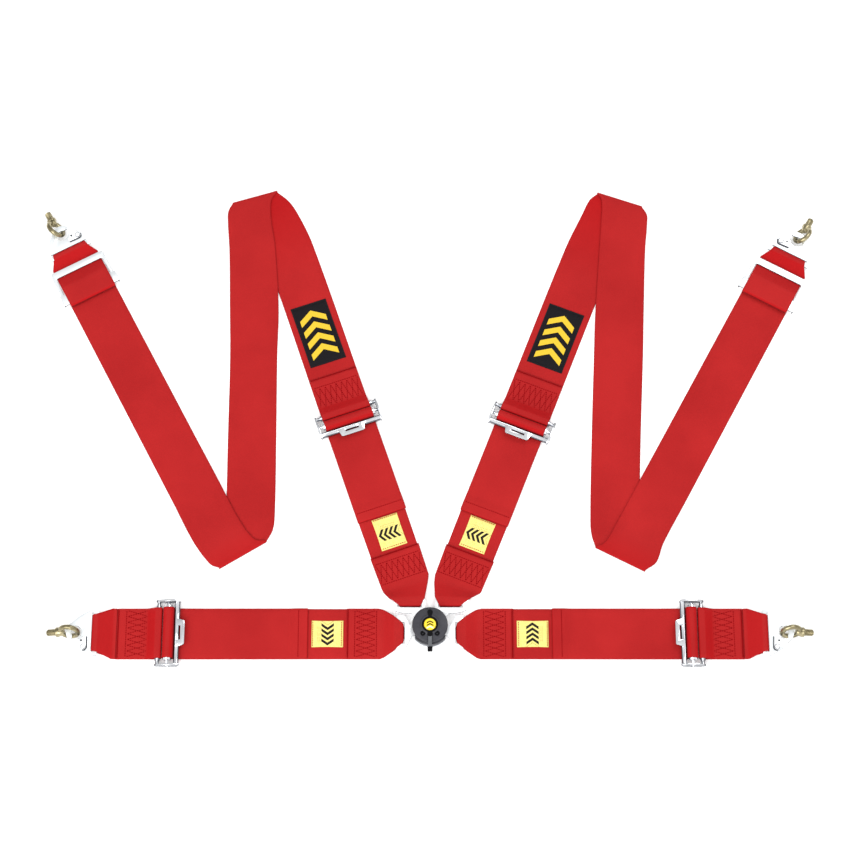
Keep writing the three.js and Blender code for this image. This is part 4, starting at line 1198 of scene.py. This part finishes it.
# -------- the harness
def build_strap(name):
    lap = name.startswith("lap")
    facts, near, far = (LAP, "inner", "outer") if lap else (SHOULDER, "lower", "main")
    body = "buckle" if name == "lap_left" else name
    strap = strap_of(name)
    far_strap = strap if lap else rise_of(name)
    hook = LAP["hook"] if lap else STRAPS[name]["hook"]
    fixed = facts["grip"] + GRIP_TO_FIXED
    path = inner_path(facts["tack"], facts["hem"], facts["grip"])
    lines = lap_lines(strap) if lap else shoulder_lines(name, strap)
    add_webbing(
        f"{name}_{near}_webbing", nose_shaded(stations_along(path, lines)), body,
        f"webbing_{name}_{near}",
    )
    if lap:
        stations = stations_along(outer_path(fixed, hook), hook_lines(strap, fixed - 20, hook))
    else:
        stations = main_stations(name, strap, far_strap)
    add_webbing(
        f"{name}_{far}_webbing", stations, body, f"webbing_{name}_{far}",
    )
    box_stitching(f"{name}_{near}_stitching", strap, body, facts["sewn"], facts["tack"])
    box_stitching(f"{name}_{far}_stitching", strap, body, facts["far_sewn"], fixed + facts["far_tack"])
    hem_stitching(f"{name}_hem_stitching", strap, body, facts["hem"] + facts["hem_row"])
    add_label(name, strap, body, facts["label"])
    if not lap:
        add_patch(name, strap, body)
    add_eye_bolt(name, far_strap, hook)
    add_latch_details(name, far_strap, hook)


for strap_name in LATCH_SIDE:
    build_strap(strap_name)

# Side faces of tongues, frames, hooks, latches, rivets and slides get painted shade.
for strap_name in LATCH_SIDE:
    refined(f"tongue_{strap_name}", WHITE_ZINC, 0.45, SHADED_ZINC)
    refined(f"adjuster_frame_{strap_name}", CHROME, 0.5, SHADED_CHROME)
    refined(f"adjuster_grip_bar_{strap_name}", CHROME)
    refined(f"hook_plate_{strap_name}", ZINC, 0.45, SHADED_ZINC)
    refined(f"hook_latch_{strap_name}", WHITE_ZINC, 0.35, SHADED_CHROME)
    refined(f"latch_rivet_{strap_name}", WHITE_ZINC, 0.35, SHADED_CHROME)
for side_name in ("left", "right"):
    refined(f"slide_frame_shoulder_{side_name}", ZINC, 0.5, SHADED_ZINC)
    # the slide bar's side faces are near black: painted shadow of the gap under it
    refined(f"slide_bar_shoulder_{side_name}", ZINC, 0.4, SHADOW_AND_DARK_STEEL)
refined("rotary_knob", PLASTIC, 0.4)
refined("buckle_housing", PLASTIC, 0.4)
refined("buckle_base_plate", STEEL, 0.3)
refined("release_lever", GREY_PLASTIC, 0.5)
refined("centre_badge", BADGE, 0.25)
for number in (1, 2, 3):
    refined(f"knob_screw_{number}", BLACK_PLASTIC, 0.2)
for loose in ("shoulder_left", "shoulder_right", "lap_right"):
    refined(f"locking_plunger_{loose}", STEEL, 0.3)
for inner in ("fixed_tongue_pin", "spindle"):
    refined(inner, STEEL, 0.3)
nodes["return_spring"].material_slots[0].material = STEEL
add_knob_details()


# -------- floor and light
def add_floor():
    size = 6.0
    mesh = bpy.data.meshes.new("floor")
    gap = 0.0004
    corners = [(-size, -size), (size, -size), (size, size), (-size, size)]
    mesh.from_pydata([(x, y, -gap) for x, y in corners], [], [(0, 1, 2, 3)])
    floor = into_scene(bpy.data.objects.new("floor", mesh))
    made = Nodes("pale_floor")
    mesh.materials.append(made.surface(
        (0.9, 0.9, 0.9, 1.0), 0.9, Specular_IOR_Level=0.0,
        Emission_Color=(1.0, 1.0, 1.0, 1.0), Emission_Strength=0.22,
    ))


def add_light(name, place, size, power, aim=(0, 0.3, 0)):
    """A square lamp that faces the middle of the harness."""
    data = bpy.data.lights.new(name, "AREA")
    data.size = size
    data.energy = power
    light = into_scene(bpy.data.objects.new(name, data))
    light.location = place
    light.rotation_euler = (Vector(aim) - Vector(place)).to_track_quat("-Z", "Y").to_euler()


def add_world():
    """A bright room, brighter on the camera's side than behind the harness."""
    world = bpy.data.worlds.new("studio")
    bpy.context.scene.world = world
    world.use_nodes = True
    tree = world.node_tree
    where = tree.nodes.new("ShaderNodeTexCoord")
    split = tree.nodes.new("ShaderNodeSeparateXYZ")
    tree.links.new(where.outputs["Generated"], split.inputs[0])
    side = tree.nodes.new("ShaderNodeMapRange")
    tree.links.new(split.outputs[1], side.inputs[0])
    bright, dim = 1.35, 0.55
    for index, number in enumerate((-0.7, 0.7, bright, dim)):
        side.inputs[index + 1].default_value = number
    background = tree.nodes["Background"]
    background.inputs[0].default_value = (1, 1, 1, 1)
    tree.links.new(side.outputs[0], background.inputs[1])


add_floor()
add_light("key", (-1.1, -1.3, 2.3), 2.4, 59)
add_light("fill", (1.2, 1.5, 2.4), 1.8, 28)
add_world()
bpy.context.scene.view_settings.view_transform = "Standard"
